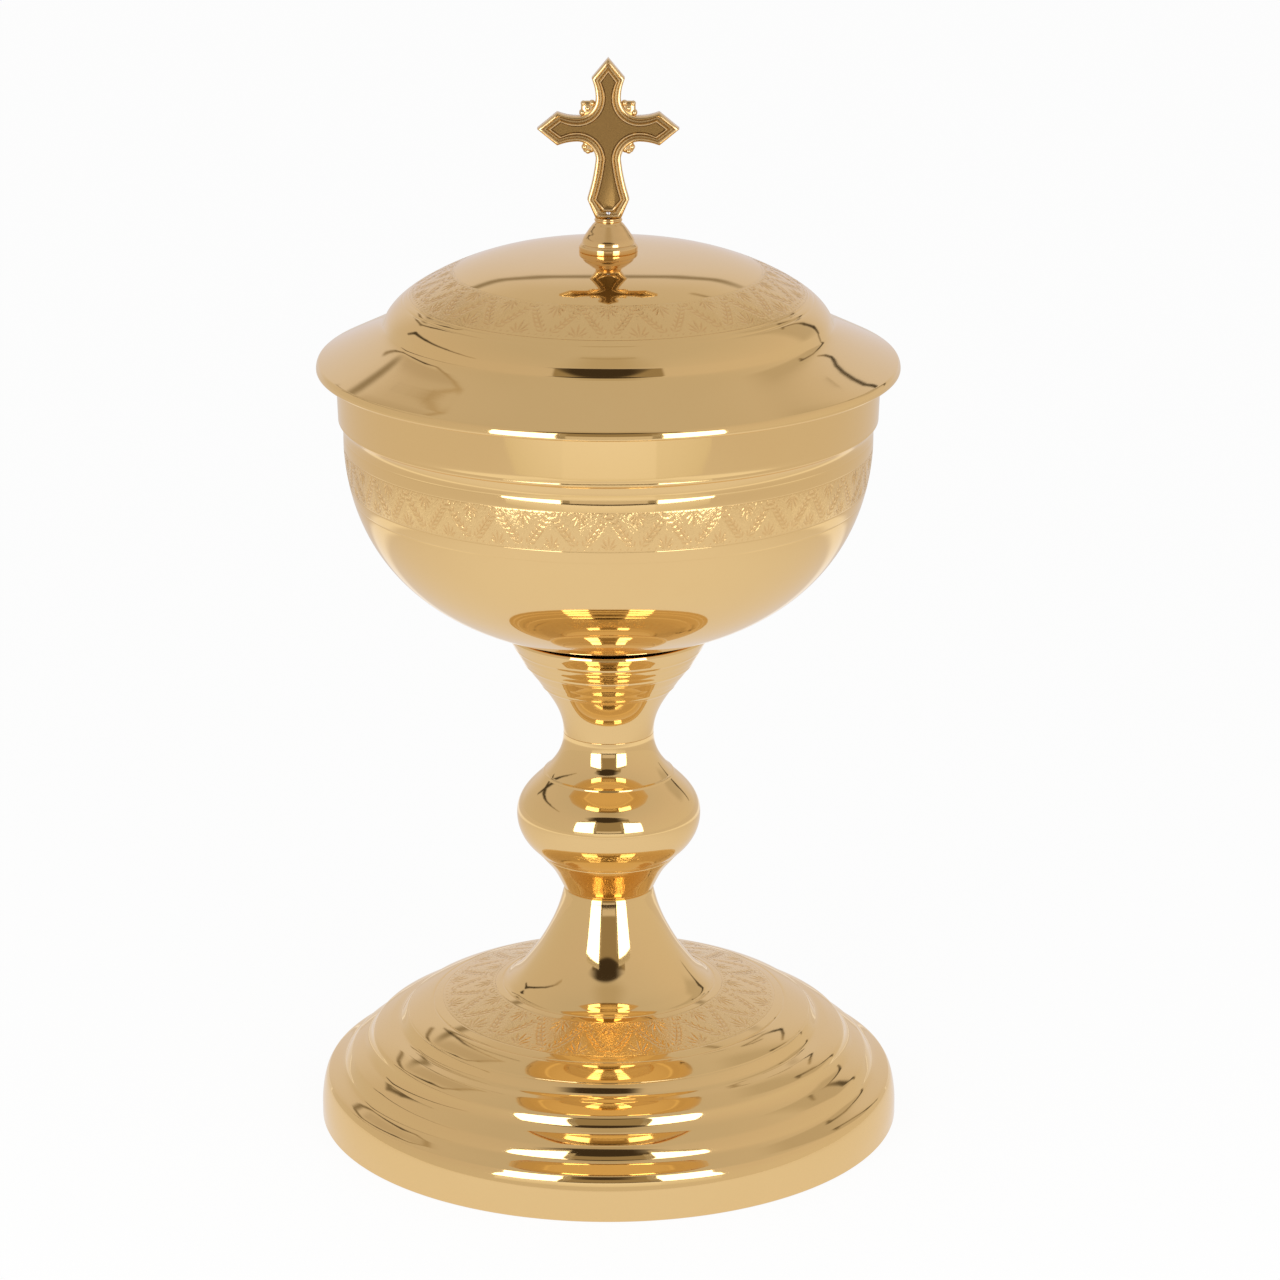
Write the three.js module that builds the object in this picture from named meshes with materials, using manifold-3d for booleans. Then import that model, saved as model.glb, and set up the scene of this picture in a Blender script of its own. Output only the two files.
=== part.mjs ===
// Ciborium: a covered cup on a stepped foot, spun and turned in gilt brass.
// Millimetres, +Z up, origin on the table at the middle of the foot, cross arms along X, front towards -Y.
import * as THREE from 'three';
import { mergeVertices } from 'three/addons/utils/BufferGeometryUtils.js';
import Module from 'manifold-3d';

// Foot shell, spun from sheet and open underneath
const footRadius = 70;
const footHeight = 57.6;
const footWall = 1.2;
const footTopThickness = 2;
const footNeckRadius = 10.95;
const footNeckDrop = 8;
const footFlareRadius = 25.8;
const footFlareHeight = 33.5;
const footFlareSlope = 0.29;
const footFlareEntry = 4.2;
const footDomeSweep = 10.8;
const footDomeEntry = 6;
const footDomeEdgeSlope = 0.7;
const footCrestRadius = 50.6;
const footCrestHeight = 25.3;
const footMiddleRidgeRadius = 58;
const footMiddleRidgeHeight = 20.4;
const footLowerRidgeRadius = 63.6;
const footLowerRidgeHeight = 15.1;
const footCoveDepth = 1.2;
const footSkirtHeight = 10;
const footSkirtLean = 1.2;
const footSkirtBelly = 3;
const footSkirtEdge = 0.6;
const footSkirtDrop = 3.3;

// Wire ring soldered inside the skirt, flush with the table
const rimRingWidth = 4;
const rimRingHeight = 3;
const solderGap = 0.15;

// Tie rod through the stem, with its washers and nut under the foot's neck
const tieRodRadius = 3;
const tieRodClearance = 0.4;
const tieRodEngagement = 9;
const tieRodProtrusion = 3;
const tieRodBevel = 0.5;
const pressureWasherRadius = 8.2;
const pressureWasherThickness = 2;
const springWasherRadius = 5.9;
const springWasherThickness = 1.6;
const springWasherSplit = 1;
const footNutAcrossFlats = 10;
const footNutThickness = 5;
const threadClearance = 0.12;

// Knop, a turned and bored node of the stem
const knopHeight = 39.4;
const knopNeckRadius = 10.8;
const knopRadius = 22.05;
const knopWidestHeight = 18.9;
const knopCollarRadius = 17.1;
const knopCollarHeight = 9.6;
const knopFootLean = 2.8;
const knopFootRise = 6.1;
const knopCollarLean = 2.7;
const knopCollarRise = 3.7;
const knopCollarStep = 0.2;
const knopBulbDrop = 6;
const knopBulbRise = 8.8;
const knopNeckRise = 10.6;
const knopRingHeight = 28.4;
const jointBevel = 0.4;
const ringRise = 0.25;
const ringHalfWidth = 0.45;
const ringReach = 0.7;

// Calyx, the flared upper stem with its three rings
const calyxHeight = 25.5;
const calyxShoulderRadius = 22;
const calyxShoulderHeight = 21;
const calyxShoulderLean = 3.3;
const calyxShoulderRise = 7.1;
const calyxNeckRise = 8.4;
const calyxTopRadius = 24.4;
const calyxRingHeights = [12.7, 18.2];
const calyxLipBevel = 0.5;

// Threaded boss brazed under the cup, hidden in the calyx
const bossRadius = 9;
const bossHeight = 12;
const bossClearance = 0.3;

// Cup, spun with a thickened lip band
const cupHeight = 66.6;
const cupWall = 1.2;
const cupSeatRadius = 19.5;
const cupSeatSlope = 0.25;
const cupFloorSweep = 26;
const cupWallSweep = 24.7;
const cupWallLean = 1;
const cupBowlRadius = 62.2;
const cupBowlHeight = 46.5;
const cupLipStep = 1.4;
const cupLipBandHeight = 13.6;
const cupLipCoveHeight = 3.2;
const cupLipRound = 0.7;
const cupLipThickness = 2.6;

// Lid, spun with a rolled brim
const lidHeight = 28.5;
const lidWall = 1.2;
const lidApexRadius = 7.4;
const lidDomeSweep = 21;
const lidShoulderDrop = 14.7;
const lidShoulderSlope = 1.75;
const lidShoulderEntry = 2;
const lidCoveSweep = 2.35;
const lidOverhang = 4.7;
const lidBrimWidth = 17.5;
const lidBrimSlope = 0.5;
const lidBrimEntry = 5;
const lidRollRadius = 1;
const lidRollTurn = 200;
const lidSeatGap = 0.15;

// Locating ring soldered under the lid, which drops into the cup
const plugClearance = 0.5;
const plugThickness = 1;
const plugDepth = 7;
const plugLeadIn = 0.5;
const plugLeadLength = 1;

// Turned knob under the cross
const knobRadius = 6.95;
const knobHeight = 7.3;
const knobNeckRadius = 3.2;
const knobBandHeight = 2.2;
const knobBandStep = 0.3;
const knobEdgeBevel = 0.4;
const knobShoulderRise = 2;
const knobNeckLean = 0.8;
const knobNeckRise = 1.5;

// Cast cross
const crossArm = 16.4;
const crossTipLength = 4.6;
const crossTipHalfWidth = 3.75;
const crossNeckHalfWidth = 2.75;
const crossNeckReach = 7.2;
const crossFootLength = 20.9;
const crossFootFlareReach = 16.5;
const crossFootHalfWidth = 4.85;
const crossBaseHalfWidth = 2.95;
const crossThickness = 3.6;
const crossEdgeBevel = 0.4;
const crossBorderWidth = 1.3;
const crossFieldDepth = 0.5;
const crossTipInset = 1.5;
const crossCornerInset = 0.4;
const scrollLobeRadius = 1.1;
const scrollCorner = 5.1;
const scrollSideReach = 5.7;
const scrollSideOffset = 3.4;
const scrollThickness = 2;
const scrollWebThickness = 1.4;

// Stud, washer and nut that hold the cross and the knob to the lid
const studRadius = 1.25;
const studClearance = 0.25;
const studEngagement = 4;
const studProtrusion = 1.5;
const studBevel = 0.25;
const finialWasherRadius = 5;
const finialWasherThickness = 1;
const finialNutAcrossFlats = 5;
const finialNutThickness = 2;

// Facets round the axis: wide shells, the stem, small hardware; then those of the cross
const shellSides = 40;
const stemSides = 28;
const smallSides = 20;
const crotchSteps = 5;
const lobeSides = 8;
const boreSides = 12;

const wasm = await Module();
wasm.setup();

const polishedGilt = { color: 0xe4bd78, roughness: 0.1, metalness: 1 };
const fieldGilt = { color: 0xc99a4b, roughness: 0.25, metalness: 1 };
const insideBrass = { color: 0xc9a35e, roughness: 0.35, metalness: 1 };
const zincSteel = { color: 0xb9bcc0, roughness: 0.4, metalness: 1 };

const at = (radius, height) => new THREE.Vector2(radius, height);

function part(name, geometry, finish, height = 0) {
  const mesh = new THREE.Mesh(geometry, new THREE.MeshStandardMaterial(finish));
  mesh.name = name;
  mesh.position.z = height;
  return mesh;
}

// One smooth stretch of an outline, which leaves its first point along one arrow and reaches its last along
// another.
function sweep(from, leave, to, arrive, steps) {
  const curve = new THREE.CubicBezierCurve(from, from.clone().add(leave), to.clone().sub(arrive), to);
  return curve.getPoints(steps);
}

// Stretches end to end, without the points that two neighbours share.
function chain(...stretches) {
  const kept = [];
  for (const point of stretches.flat()) {
    const last = kept[kept.length - 1];
    if (!last || last.distanceTo(point) > 1e-3) kept.push(point);
  }
  return kept;
}

// Direction square to an outline at one of its points: side +1 is left of its run, -1 right.
function squareTo(outline, index, side) {
  const before = outline[Math.max(index - 1, 0)];
  const after = outline[Math.min(index + 1, outline.length - 1)];
  const run = after.clone().sub(before).normalize();
  return at(-run.y * side, run.x * side);
}

// The inner face of a sheet: every second point of its outer face, moved in by the wall.
function innerFace(outline, wall, side) {
  const inner = [];
  outline.forEach((point, index) => {
    if (index % 2 && index !== outline.length - 1) return;
    inner.push(point.clone().add(squareTo(outline, index, side).multiplyScalar(wall)));
  });
  return inner;
}

// Height of an outline at a radius, for one whose radius rises or falls all the way.
function heightAt(outline, radius) {
  for (let i = 1; i < outline.length; i++) {
    const [a, b] = [outline[i - 1], outline[i]];
    if ((a.x - radius) * (b.x - radius) <= 0 && a.x !== b.x) {
      return THREE.MathUtils.mapLinear(radius, a.x, b.x, a.y, b.y);
    }
  }
  return outline[outline.length - 1].y;
}

// A fine raised ring: the outline with a low bead added at a height.
function withRing(outline, height) {
  const index = outline.findIndex((point) => point.y > height);
  const share = (height - outline[index - 1].y) / (outline[index].y - outline[index - 1].y);
  const seat = outline[index - 1].clone().lerp(outline[index], share);
  const run = outline[index].clone().sub(outline[index - 1]).normalize();
  const out = at(run.y, -run.x);
  const bead = [
    seat.clone().addScaledVector(run, -ringHalfWidth),
    seat.clone().addScaledVector(out, ringRise),
    seat.clone().addScaledVector(run, ringHalfWidth),
  ];
  const clear = (point) => point.distanceTo(seat) > ringReach;
  return [...outline.slice(0, index).filter(clear), ...bead, ...outline.slice(index).filter(clear)];
}

// A solid of revolution about Z from an outline that closes on itself or starts and ends on the axis.
function turned(outline, sides) {
  const ends = [outline[0], outline[outline.length - 1]];
  const onAxis = ends.every((point) => point.x === 0);
  const loop = onAxis ? outline : [...outline, outline[0]];
  const area = THREE.ShapeUtils.area(loop);
  const geometry = new THREE.LatheGeometry(area > 0 ? loop : [...loop].reverse(), sides);
  return geometry.rotateX(Math.PI / 2);
}

function ringOf(innerRadius, outerRadius, height, sides) {
  return turned(
    [at(innerRadius, 0), at(outerRadius, 0), at(outerRadius, height), at(innerRadius, height)],
    sides,
  );
}

function roundBar(radius, length, bevel, sides) {
  return turned(
    [
      at(0, 0), at(radius - bevel, 0), at(radius, bevel),
      at(radius, length - bevel), at(radius - bevel, length), at(0, length),
    ],
    sides,
  );
}

function flatPiece(shape, thickness) {
  return new THREE.ExtrudeGeometry(shape, {
    depth: thickness, bevelEnabled: false, curveSegments: smallSides / 2,
  });
}

function hexNut(acrossFlats, boreRadius, thickness) {
  const corner = acrossFlats / 2 / Math.cos(Math.PI / 6);
  const outline = [];
  for (let i = 0; i < 6; i++) {
    outline.push(at(corner * Math.cos((i * Math.PI) / 3), corner * Math.sin((i * Math.PI) / 3)));
  }
  const shape = new THREE.Shape(outline);
  shape.holes.push(new THREE.Path().absarc(0, 0, boreRadius, 0, 2 * Math.PI, true));
  return flatPiece(shape, thickness);
}

function toSolid(geometry) {
  const bare = geometry.index ? geometry.toNonIndexed() : geometry.clone();
  bare.deleteAttribute('normal');
  bare.deleteAttribute('uv');
  const merged = mergeVertices(bare, 1e-4);
  return new wasm.Manifold(
    new wasm.Mesh({
      numProp: 3,
      vertProperties: merged.attributes.position.array,
      triVerts: new Uint32Array(merged.index.array),
    }),
  );
}

function toGeometry(solid) {
  const mesh = solid.getMesh();
  const geometry = new THREE.BufferGeometry();
  geometry.setAttribute('position', new THREE.BufferAttribute(mesh.vertProperties, 3));
  geometry.setIndex(new THREE.BufferAttribute(mesh.triVerts, 1));
  return geometry;
}

// Foot: a waisted neck, an engraved dome, ridges with coves between them and a plain skirt.
const rodHoleRadius = tieRodRadius + tieRodClearance;

function ridges() {
  const crests = [
    at(footCrestRadius, footCrestHeight),
    at(footMiddleRidgeRadius, footMiddleRidgeHeight),
    at(footLowerRidgeRadius, footLowerRidgeHeight),
    at(footRadius - footSkirtLean, footSkirtHeight),
  ];
  const stations = [crests[0]];
  for (let i = 1; i < crests.length; i++) {
    const run = crests[i].clone().sub(crests[i - 1]);
    const inwards = at(run.y, -run.x).normalize();
    stations.push(crests[i - 1].clone().lerp(crests[i], 0.5).addScaledVector(inwards, footCoveDepth));
    stations.push(crests[i]);
  }
  return new THREE.SplineCurve(stations).getPoints(2 * (stations.length - 1));
}

function footOutline() {
  const neck = at(footNeckRadius, footHeight - jointBevel);
  const flare = at(footFlareRadius, footFlareHeight);
  const flareRun = at(1, -footFlareSlope);
  const crest = at(footCrestRadius, footCrestHeight);
  const skirtTop = at(footRadius - footSkirtLean, footSkirtHeight);
  const skirtBelly = at(footRadius, footSkirtBelly);
  return chain(
    sweep(neck, at(0, -footNeckDrop), flare, flareRun.clone().multiplyScalar(footFlareEntry), 8),
    sweep(
      flare, flareRun.clone().multiplyScalar(footDomeSweep),
      crest, at(1, -footDomeEdgeSlope).multiplyScalar(footDomeEntry), 5,
    ),
    ridges(),
    sweep(skirtTop, at(footSkirtEdge, 0), skirtBelly, at(0, -footSkirtDrop), 3),
    [at(footRadius, 0)],
  );
}

function footShell() {
  const outer = footOutline();
  const top = [at(rodHoleRadius, footHeight), at(footNeckRadius - jointBevel, footHeight)];
  const underTop = footHeight - footTopThickness;
  const inner = innerFace(outer, footWall, -1).filter((point) => point.y < underTop && point.y > 0);
  inner.push(at(footRadius - footWall, 0));
  inner.unshift(at(inner[0].x, underTop));
  return turned([...top, ...outer, ...inner.reverse(), at(rodHoleRadius, underTop)], shellSides);
}

// Split spring washer, cut through on the +X side.
function springWasher() {
  const halfSplit = Math.asin(springWasherSplit / 2 / springWasherRadius);
  const shape = new THREE.Shape();
  shape.absarc(0, 0, springWasherRadius, halfSplit, 2 * Math.PI - halfSplit, false);
  shape.absarc(0, 0, rodHoleRadius, 2 * Math.PI - halfSplit, halfSplit, true);
  return flatPiece(shape, springWasherThickness);
}

function footParts() {
  const ringOuter = footRadius - footWall - solderGap;
  const rimRing = ringOf(ringOuter - rimRingWidth, ringOuter, rimRingHeight, shellSides);
  const washerTop = footHeight - footTopThickness;
  const springTop = washerTop - pressureWasherThickness;
  const nutTop = springTop - springWasherThickness;
  const rodFoot = nutTop - footNutThickness - tieRodProtrusion;
  const rodTop = cupSeatHeight - bossHeight + tieRodEngagement;
  return [
    part('foot_shell', footShell(), polishedGilt),
    part('foot_rim_ring', rimRing, insideBrass),
    part(
      'foot_pressure_washer',
      ringOf(rodHoleRadius, pressureWasherRadius, pressureWasherThickness, smallSides),
      insideBrass, springTop,
    ),
    part('foot_spring_washer', springWasher(), zincSteel, nutTop),
    part(
      'foot_nut',
      hexNut(footNutAcrossFlats, tieRodRadius + threadClearance, footNutThickness),
      zincSteel, nutTop - footNutThickness,
    ),
    part('tie_rod', roundBar(tieRodRadius, rodTop - rodFoot, tieRodBevel, smallSides), zincSteel, rodFoot),
  ];
}

// Knop: a flared collar, a round bulb with one fine ring and a neck, bored for the tie rod.
function knopGeometry() {
  const foot = at(footNeckRadius, jointBevel);
  const collar = at(knopCollarRadius, knopCollarHeight);
  const widest = at(knopRadius, knopWidestHeight);
  const neck = at(knopNeckRadius, knopHeight - jointBevel / 2);
  const side = chain(
    sweep(foot, at(knopFootLean, knopFootRise), collar, at(knopCollarLean, knopCollarRise), 4),
    sweep(collar, at(knopCollarStep, knopCollarStep), widest, at(0, knopBulbDrop), 5),
    sweep(widest, at(0, knopBulbRise), neck, at(0, knopNeckRise), 8),
  );
  return turned(
    [
      at(rodHoleRadius, 0), at(footNeckRadius - jointBevel, 0),
      ...withRing(side, knopRingHeight),
      at(knopNeckRadius - jointBevel / 2, knopHeight), at(rodHoleRadius, knopHeight),
    ],
    stemSides,
  );
}

// Calyx: flares from the knop's neck to the seat of the cup, counterbored for the boss.
function calyxGeometry() {
  let side = sweep(
    at(knopNeckRadius, jointBevel / 2), at(0, calyxNeckRise),
    at(calyxShoulderRadius, calyxShoulderHeight), at(calyxShoulderLean, calyxShoulderRise), 9,
  );
  for (const height of calyxRingHeights) side = withRing(side, height);
  const pocket = bossRadius + bossClearance;
  const pocketFloor = calyxHeight - bossHeight - bossClearance;
  return turned(
    [
      at(rodHoleRadius, 0), at(knopNeckRadius - jointBevel / 2, 0), ...side,
      at(calyxTopRadius, calyxHeight - calyxLipBevel),
      at(calyxTopRadius - calyxLipBevel, calyxHeight),
      at(pocket, calyxHeight), at(pocket, pocketFloor), at(rodHoleRadius, pocketFloor),
    ],
    stemSides,
  );
}

function bossGeometry() {
  const bore = tieRodRadius + threadClearance;
  const boreDepth = tieRodEngagement + threadClearance;
  return turned(
    [
      at(bore, 0), at(bossRadius, 0), at(bossRadius, bossHeight), at(0, bossHeight),
      at(0, boreDepth), at(bore, boreDepth),
    ],
    stemSides,
  );
}

// Cup: a nearly flat floor, a deep round bowl and a lip band that stands proud of it.
const cupLipRadius = cupBowlRadius + cupLipStep;
const cupInnerRadius = cupLipRadius - cupLipThickness;

function bowlOutline() {
  return sweep(
    at(cupSeatRadius, 0), at(1, cupSeatSlope).multiplyScalar(cupFloorSweep),
    at(cupBowlRadius, cupBowlHeight), at(cupWallLean, cupWallSweep), 12,
  );
}

function cupGeometry() {
  const bowl = bowlOutline();
  const bandFoot = cupHeight - cupLipBandHeight;
  const inner = innerFace(bowl, cupWall, 1).filter((point) => point.x < cupInnerRadius);
  return turned(
    [
      at(0, 0), ...bowl,
      at(cupBowlRadius, bandFoot - cupLipCoveHeight),
      at(cupLipRadius - cupLipRound / 2, bandFoot - cupLipRound / 2),
      at(cupLipRadius, bandFoot),
      at(cupLipRadius, cupHeight - cupLipRound),
      at(cupLipRadius - cupLipRound, cupHeight),
      at(cupInnerRadius, cupHeight),
      at(cupInnerRadius, cupBowlHeight),
      ...inner.reverse(), at(0, cupWall),
    ],
    shellSides,
  );
}

// Lid: dome, shoulder, hollow sweep and rolled brim; heights are from the underside of the roll.
const lidBrimRadius = cupLipRadius + lidOverhang;
const lidShoulderRadius = lidBrimRadius - lidBrimWidth;

function lidOutline() {
  const shoulder = at(lidShoulderRadius, lidHeight - lidShoulderDrop);
  const shoulderRun = at(1, -lidShoulderSlope);
  const brimRun = at(1, -lidBrimSlope);
  const brimTilt = Math.atan(lidBrimSlope);
  const rollCentre = lidBrimRadius - lidRollRadius;
  const brim = at(
    rollCentre + lidRollRadius * Math.sin(brimTilt),
    lidRollRadius + lidRollRadius * Math.cos(brimTilt),
  );
  return chain(
    sweep(
      at(lidApexRadius, lidHeight), at(lidDomeSweep, 0),
      shoulder, shoulderRun.clone().multiplyScalar(lidShoulderEntry), 9,
    ),
    sweep(
      shoulder, shoulderRun.clone().multiplyScalar(lidCoveSweep),
      brim, brimRun.clone().multiplyScalar(lidBrimEntry), 6,
    ),
  );
}

function rollOutline() {
  const points = [];
  const start = Math.PI / 2 - Math.atan(lidBrimSlope);
  const turn = THREE.MathUtils.degToRad(lidRollTurn);
  const steps = 6;
  for (let i = 1; i <= steps; i++) {
    const angle = start - (turn * i) / steps;
    points.push(
      at(
        lidBrimRadius - lidRollRadius + lidRollRadius * Math.cos(angle),
        lidRollRadius + lidRollRadius * Math.sin(angle),
      ),
    );
  }
  return points;
}

function lidUnderside() {
  const rollInside = lidBrimRadius - 2 * lidRollRadius - lidWall;
  return innerFace(lidOutline(), lidWall, -1).filter((point) => point.x < rollInside);
}

function lidGeometry() {
  const hole = studRadius + studClearance;
  const outer = lidOutline();
  return turned(
    [
      at(hole, lidHeight), ...outer, ...rollOutline(),
      ...lidUnderside().reverse(), at(hole, lidHeight - lidWall),
    ],
    shellSides,
  );
}

// Locating ring: its top follows the lid's underside and its foot reaches below the cup's rim.
function plugRing(rimBelow) {
  const outer = cupInnerRadius - plugClearance;
  const inner = outer - plugThickness;
  const top = heightAt(lidUnderside(), outer) - solderGap;
  const foot = rimBelow - plugDepth;
  return turned(
    [
      at(inner, foot), at(outer - plugLeadIn, foot), at(outer, foot + plugLeadLength),
      at(outer, top), at(inner, top),
    ],
    shellSides,
  );
}

function knobGeometry() {
  const bore = studRadius + studClearance;
  const capFoot = at(knobRadius - knobBandStep, knobBandHeight);
  const capTop = at(knobNeckRadius, knobHeight - knobEdgeBevel);
  return turned(
    [
      at(bore, 0), at(knobRadius - knobEdgeBevel, 0), at(knobRadius, knobEdgeBevel),
      at(knobRadius, knobBandHeight - knobBandStep),
      at(knobRadius - knobBandStep, knobBandHeight - knobBandStep / 2),
      ...sweep(capFoot, at(-knobBandStep, knobShoulderRise), capTop, at(-knobNeckLean, knobNeckRise), 7),
      at(knobNeckRadius, knobHeight), at(bore, knobHeight),
    ],
    smallSides,
  );
}

// Outline of the cross drawn in by an inset, with its centre at the origin and its foot downwards.
function crossShape(inset) {
  const corner = crossArm - crossTipLength - inset * crossCornerInset;
  const half = crossTipHalfWidth - inset;
  const arm = [at(corner, -half), at(crossArm - inset * crossTipInset, 0), at(corner, half)];

  const bow = crossNeckReach - crossNeckHalfWidth + inset;
  const crotch = [];
  for (let i = 0; i <= crotchSteps; i++) {
    const angle = -Math.PI / 2 - ((i / crotchSteps) * Math.PI) / 2;
    crotch.push(at(crossNeckReach + bow * Math.cos(angle), crossNeckReach + bow * Math.sin(angle)));
  }

  const flareHalf = crossFootHalfWidth - inset;
  const midHalf = (crossNeckHalfWidth + crossFootHalfWidth) / 2 - inset;
  const midReach = (crossNeckReach + crossFootFlareReach) / 2;
  const footSide = [
    at(midHalf, -midReach),
    at(flareHalf, -crossFootFlareReach),
    at(crossBaseHalfWidth - inset, inset - crossFootLength),
  ];
  const mirrored = footSide.map((point) => at(-point.x, point.y));

  const spun = (points, quarters) =>
    points.map((point) => point.clone().rotateAround(at(0, 0), (quarters * Math.PI) / 2));
  return new THREE.Shape([
    ...arm, ...crotch,
    ...spun(arm, 1), ...spun(crotch, 1),
    ...spun(arm, 2), ...spun(crotch, 2),
    ...mirrored, ...footSide.reverse(),
    ...spun(crotch, 3),
  ]);
}

function plate(shape, thickness, bevel) {
  const geometry = new THREE.ExtrudeGeometry(shape, {
    depth: thickness - 2 * bevel,
    bevelEnabled: bevel > 0,
    bevelThickness: bevel, bevelSize: bevel, bevelOffset: -bevel, bevelSegments: 1,
  });
  return geometry.translate(0, 0, bevel - thickness / 2);
}

// Three cast lobes in each corner between the arms, on a thin square behind the crossing.
function scrollwork() {
  const side = 2 * scrollCorner;
  let solid = toSolid(new THREE.BoxGeometry(side, side, scrollWebThickness));
  const lobeCentres = [
    [scrollCorner, scrollCorner], [scrollSideOffset, scrollSideReach], [scrollSideReach, scrollSideOffset],
  ];
  for (const [signX, signY] of [[1, 1], [-1, 1], [-1, -1], [1, -1]]) {
    for (const [x, y] of lobeCentres) {
      const lobe = new THREE.CylinderGeometry(
        scrollLobeRadius, scrollLobeRadius, scrollThickness, lobeSides,
      );
      lobe.rotateX(Math.PI / 2).translate(signX * x, signY * y, 0);
      solid = solid.add(toSolid(lobe));
    }
  }
  return solid;
}

// Cross: bevelled casting, a raised border round a sunk field on both faces, scrolls behind the crossing.
function crossGeometry() {
  const body = toSolid(plate(crossShape(0), crossThickness, crossEdgeBevel));
  const field = plate(crossShape(crossBorderWidth), crossThickness, 0);
  const sink = crossThickness - crossFieldDepth;
  let solid = body.add(scrollwork());
  for (const face of [-1, 1]) {
    solid = solid.subtract(toSolid(field.clone().translate(0, 0, face * sink)));
  }
  const boreRadius = studRadius + threadClearance;
  const bore = new THREE.CylinderGeometry(boreRadius, boreRadius, 2 * studEngagement, boreSides);
  bore.translate(0, -crossFootLength, 0);
  return toGeometry(solid.subtract(toSolid(bore))).rotateX(Math.PI / 2);
}

const knopBase = footHeight;
const calyxBase = knopBase + knopHeight;
const cupSeatHeight = calyxBase + calyxHeight;
const cupRimHeight = cupSeatHeight + cupHeight;
const lidBase = cupRimHeight + lidSeatGap - heightAt(lidUnderside(), cupLipRadius);
const knobBase = lidBase + lidHeight;
const crossBase = knobBase + knobHeight;
const finialWasherBase = knobBase - lidWall - finialWasherThickness;
const finialNutBase = finialWasherBase - finialNutThickness;
const studBase = finialNutBase - studProtrusion;
const studLength = crossBase + studEngagement - threadClearance - studBase;

const ciborium = new THREE.Group();
ciborium.add(
  ...footParts(),
  part('knop', knopGeometry(), polishedGilt, knopBase),
  part('calyx', calyxGeometry(), polishedGilt, calyxBase),
  part('cup_boss', bossGeometry(), insideBrass, cupSeatHeight - bossHeight),
  part('cup_bowl', cupGeometry(), polishedGilt, cupSeatHeight),
);

const lid = new THREE.Group();
lid.add(
  part('lid_shell', lidGeometry(), polishedGilt, lidBase),
  part('lid_plug_ring', plugRing(cupRimHeight - lidBase), polishedGilt, lidBase),
  part('knob', knobGeometry(), polishedGilt, knobBase),
  part('finial_cross', crossGeometry(), fieldGilt, crossBase + crossFootLength),
  part('finial_stud', roundBar(studRadius, studLength, studBevel, smallSides), zincSteel, studBase),
  part(
    'finial_washer',
    ringOf(studRadius + studClearance, finialWasherRadius, finialWasherThickness, smallSides),
    insideBrass, finialWasherBase,
  ),
  part(
    'finial_nut',
    hexNut(finialNutAcrossFlats, studRadius + threadClearance, finialNutThickness),
    insideBrass, finialNutBase,
  ),
);
ciborium.add(lid);

export default ciborium;
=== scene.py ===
"""The looks of a covered cup on a stepped foot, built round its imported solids.

Sizes are in millimetres in the classes below and become metres when a mesh is made. Heights are
above the table, the cross's arms lie along X and its face looks towards -Y.
"""

from __future__ import annotations

import logging
import math
from collections.abc import Iterable, Sequence
from dataclasses import dataclass, field, replace
from enum import Enum

import bpy
import numpy as np
from numpy.typing import NDArray
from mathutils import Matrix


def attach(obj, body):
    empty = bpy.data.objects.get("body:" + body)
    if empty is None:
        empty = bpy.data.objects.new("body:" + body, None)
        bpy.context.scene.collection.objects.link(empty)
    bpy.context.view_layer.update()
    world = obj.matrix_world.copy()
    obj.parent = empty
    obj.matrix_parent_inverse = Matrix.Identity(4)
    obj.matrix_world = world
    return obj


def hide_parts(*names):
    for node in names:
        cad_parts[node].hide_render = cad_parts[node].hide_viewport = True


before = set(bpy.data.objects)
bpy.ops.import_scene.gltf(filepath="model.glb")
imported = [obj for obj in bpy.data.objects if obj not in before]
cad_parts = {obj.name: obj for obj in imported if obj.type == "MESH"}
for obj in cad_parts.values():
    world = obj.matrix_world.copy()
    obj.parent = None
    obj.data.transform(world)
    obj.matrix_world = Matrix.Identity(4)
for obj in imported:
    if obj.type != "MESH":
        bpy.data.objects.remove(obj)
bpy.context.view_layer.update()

Array = NDArray[np.float64]
Indices = NDArray[np.int64]
Pair = tuple[float, float]

# Metres in a millimetre, and millimetres between the samples of an outline while it is worked on.
MM = 0.001
GRAIN = 0.02
LOG = logging.getLogger("ciborium")


# Outlines


def straight(*corners: Pair) -> Array:
    """Corners joined by straight lines, as rows of radius and height."""
    return np.array(corners, float)


def sweep(start: Pair, leave: Pair, end: Pair, arrive: Pair, steps: int = 900) -> Array:
    """One smooth stretch: a cubic curve with an arrow at each end.

    Its points are (1-t)^3 a + 3 (1-t)^2 t b + 3 (1-t) t^2 c + t^3 d, where b and c lie at the
    arrows' far ends.

    Args:
        start: First point, as radius and height.
        leave: Arrow along which the curve leaves it.
        end: Last point.
        arrive: Arrow along which the curve reaches it.
        steps: Number of points, less one.

    Returns:
        Rows of radius and height.
    """
    a, d = np.array(start, float), np.array(end, float)
    b, c = a + np.array(leave, float), d - np.array(arrive, float)
    t = np.linspace(0.0, 1.0, steps + 1)[:, None]
    return (1 - t) ** 3 * a + 3 * (1 - t) ** 2 * t * b + 3 * (1 - t) * t**2 * c + t**3 * d


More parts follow.
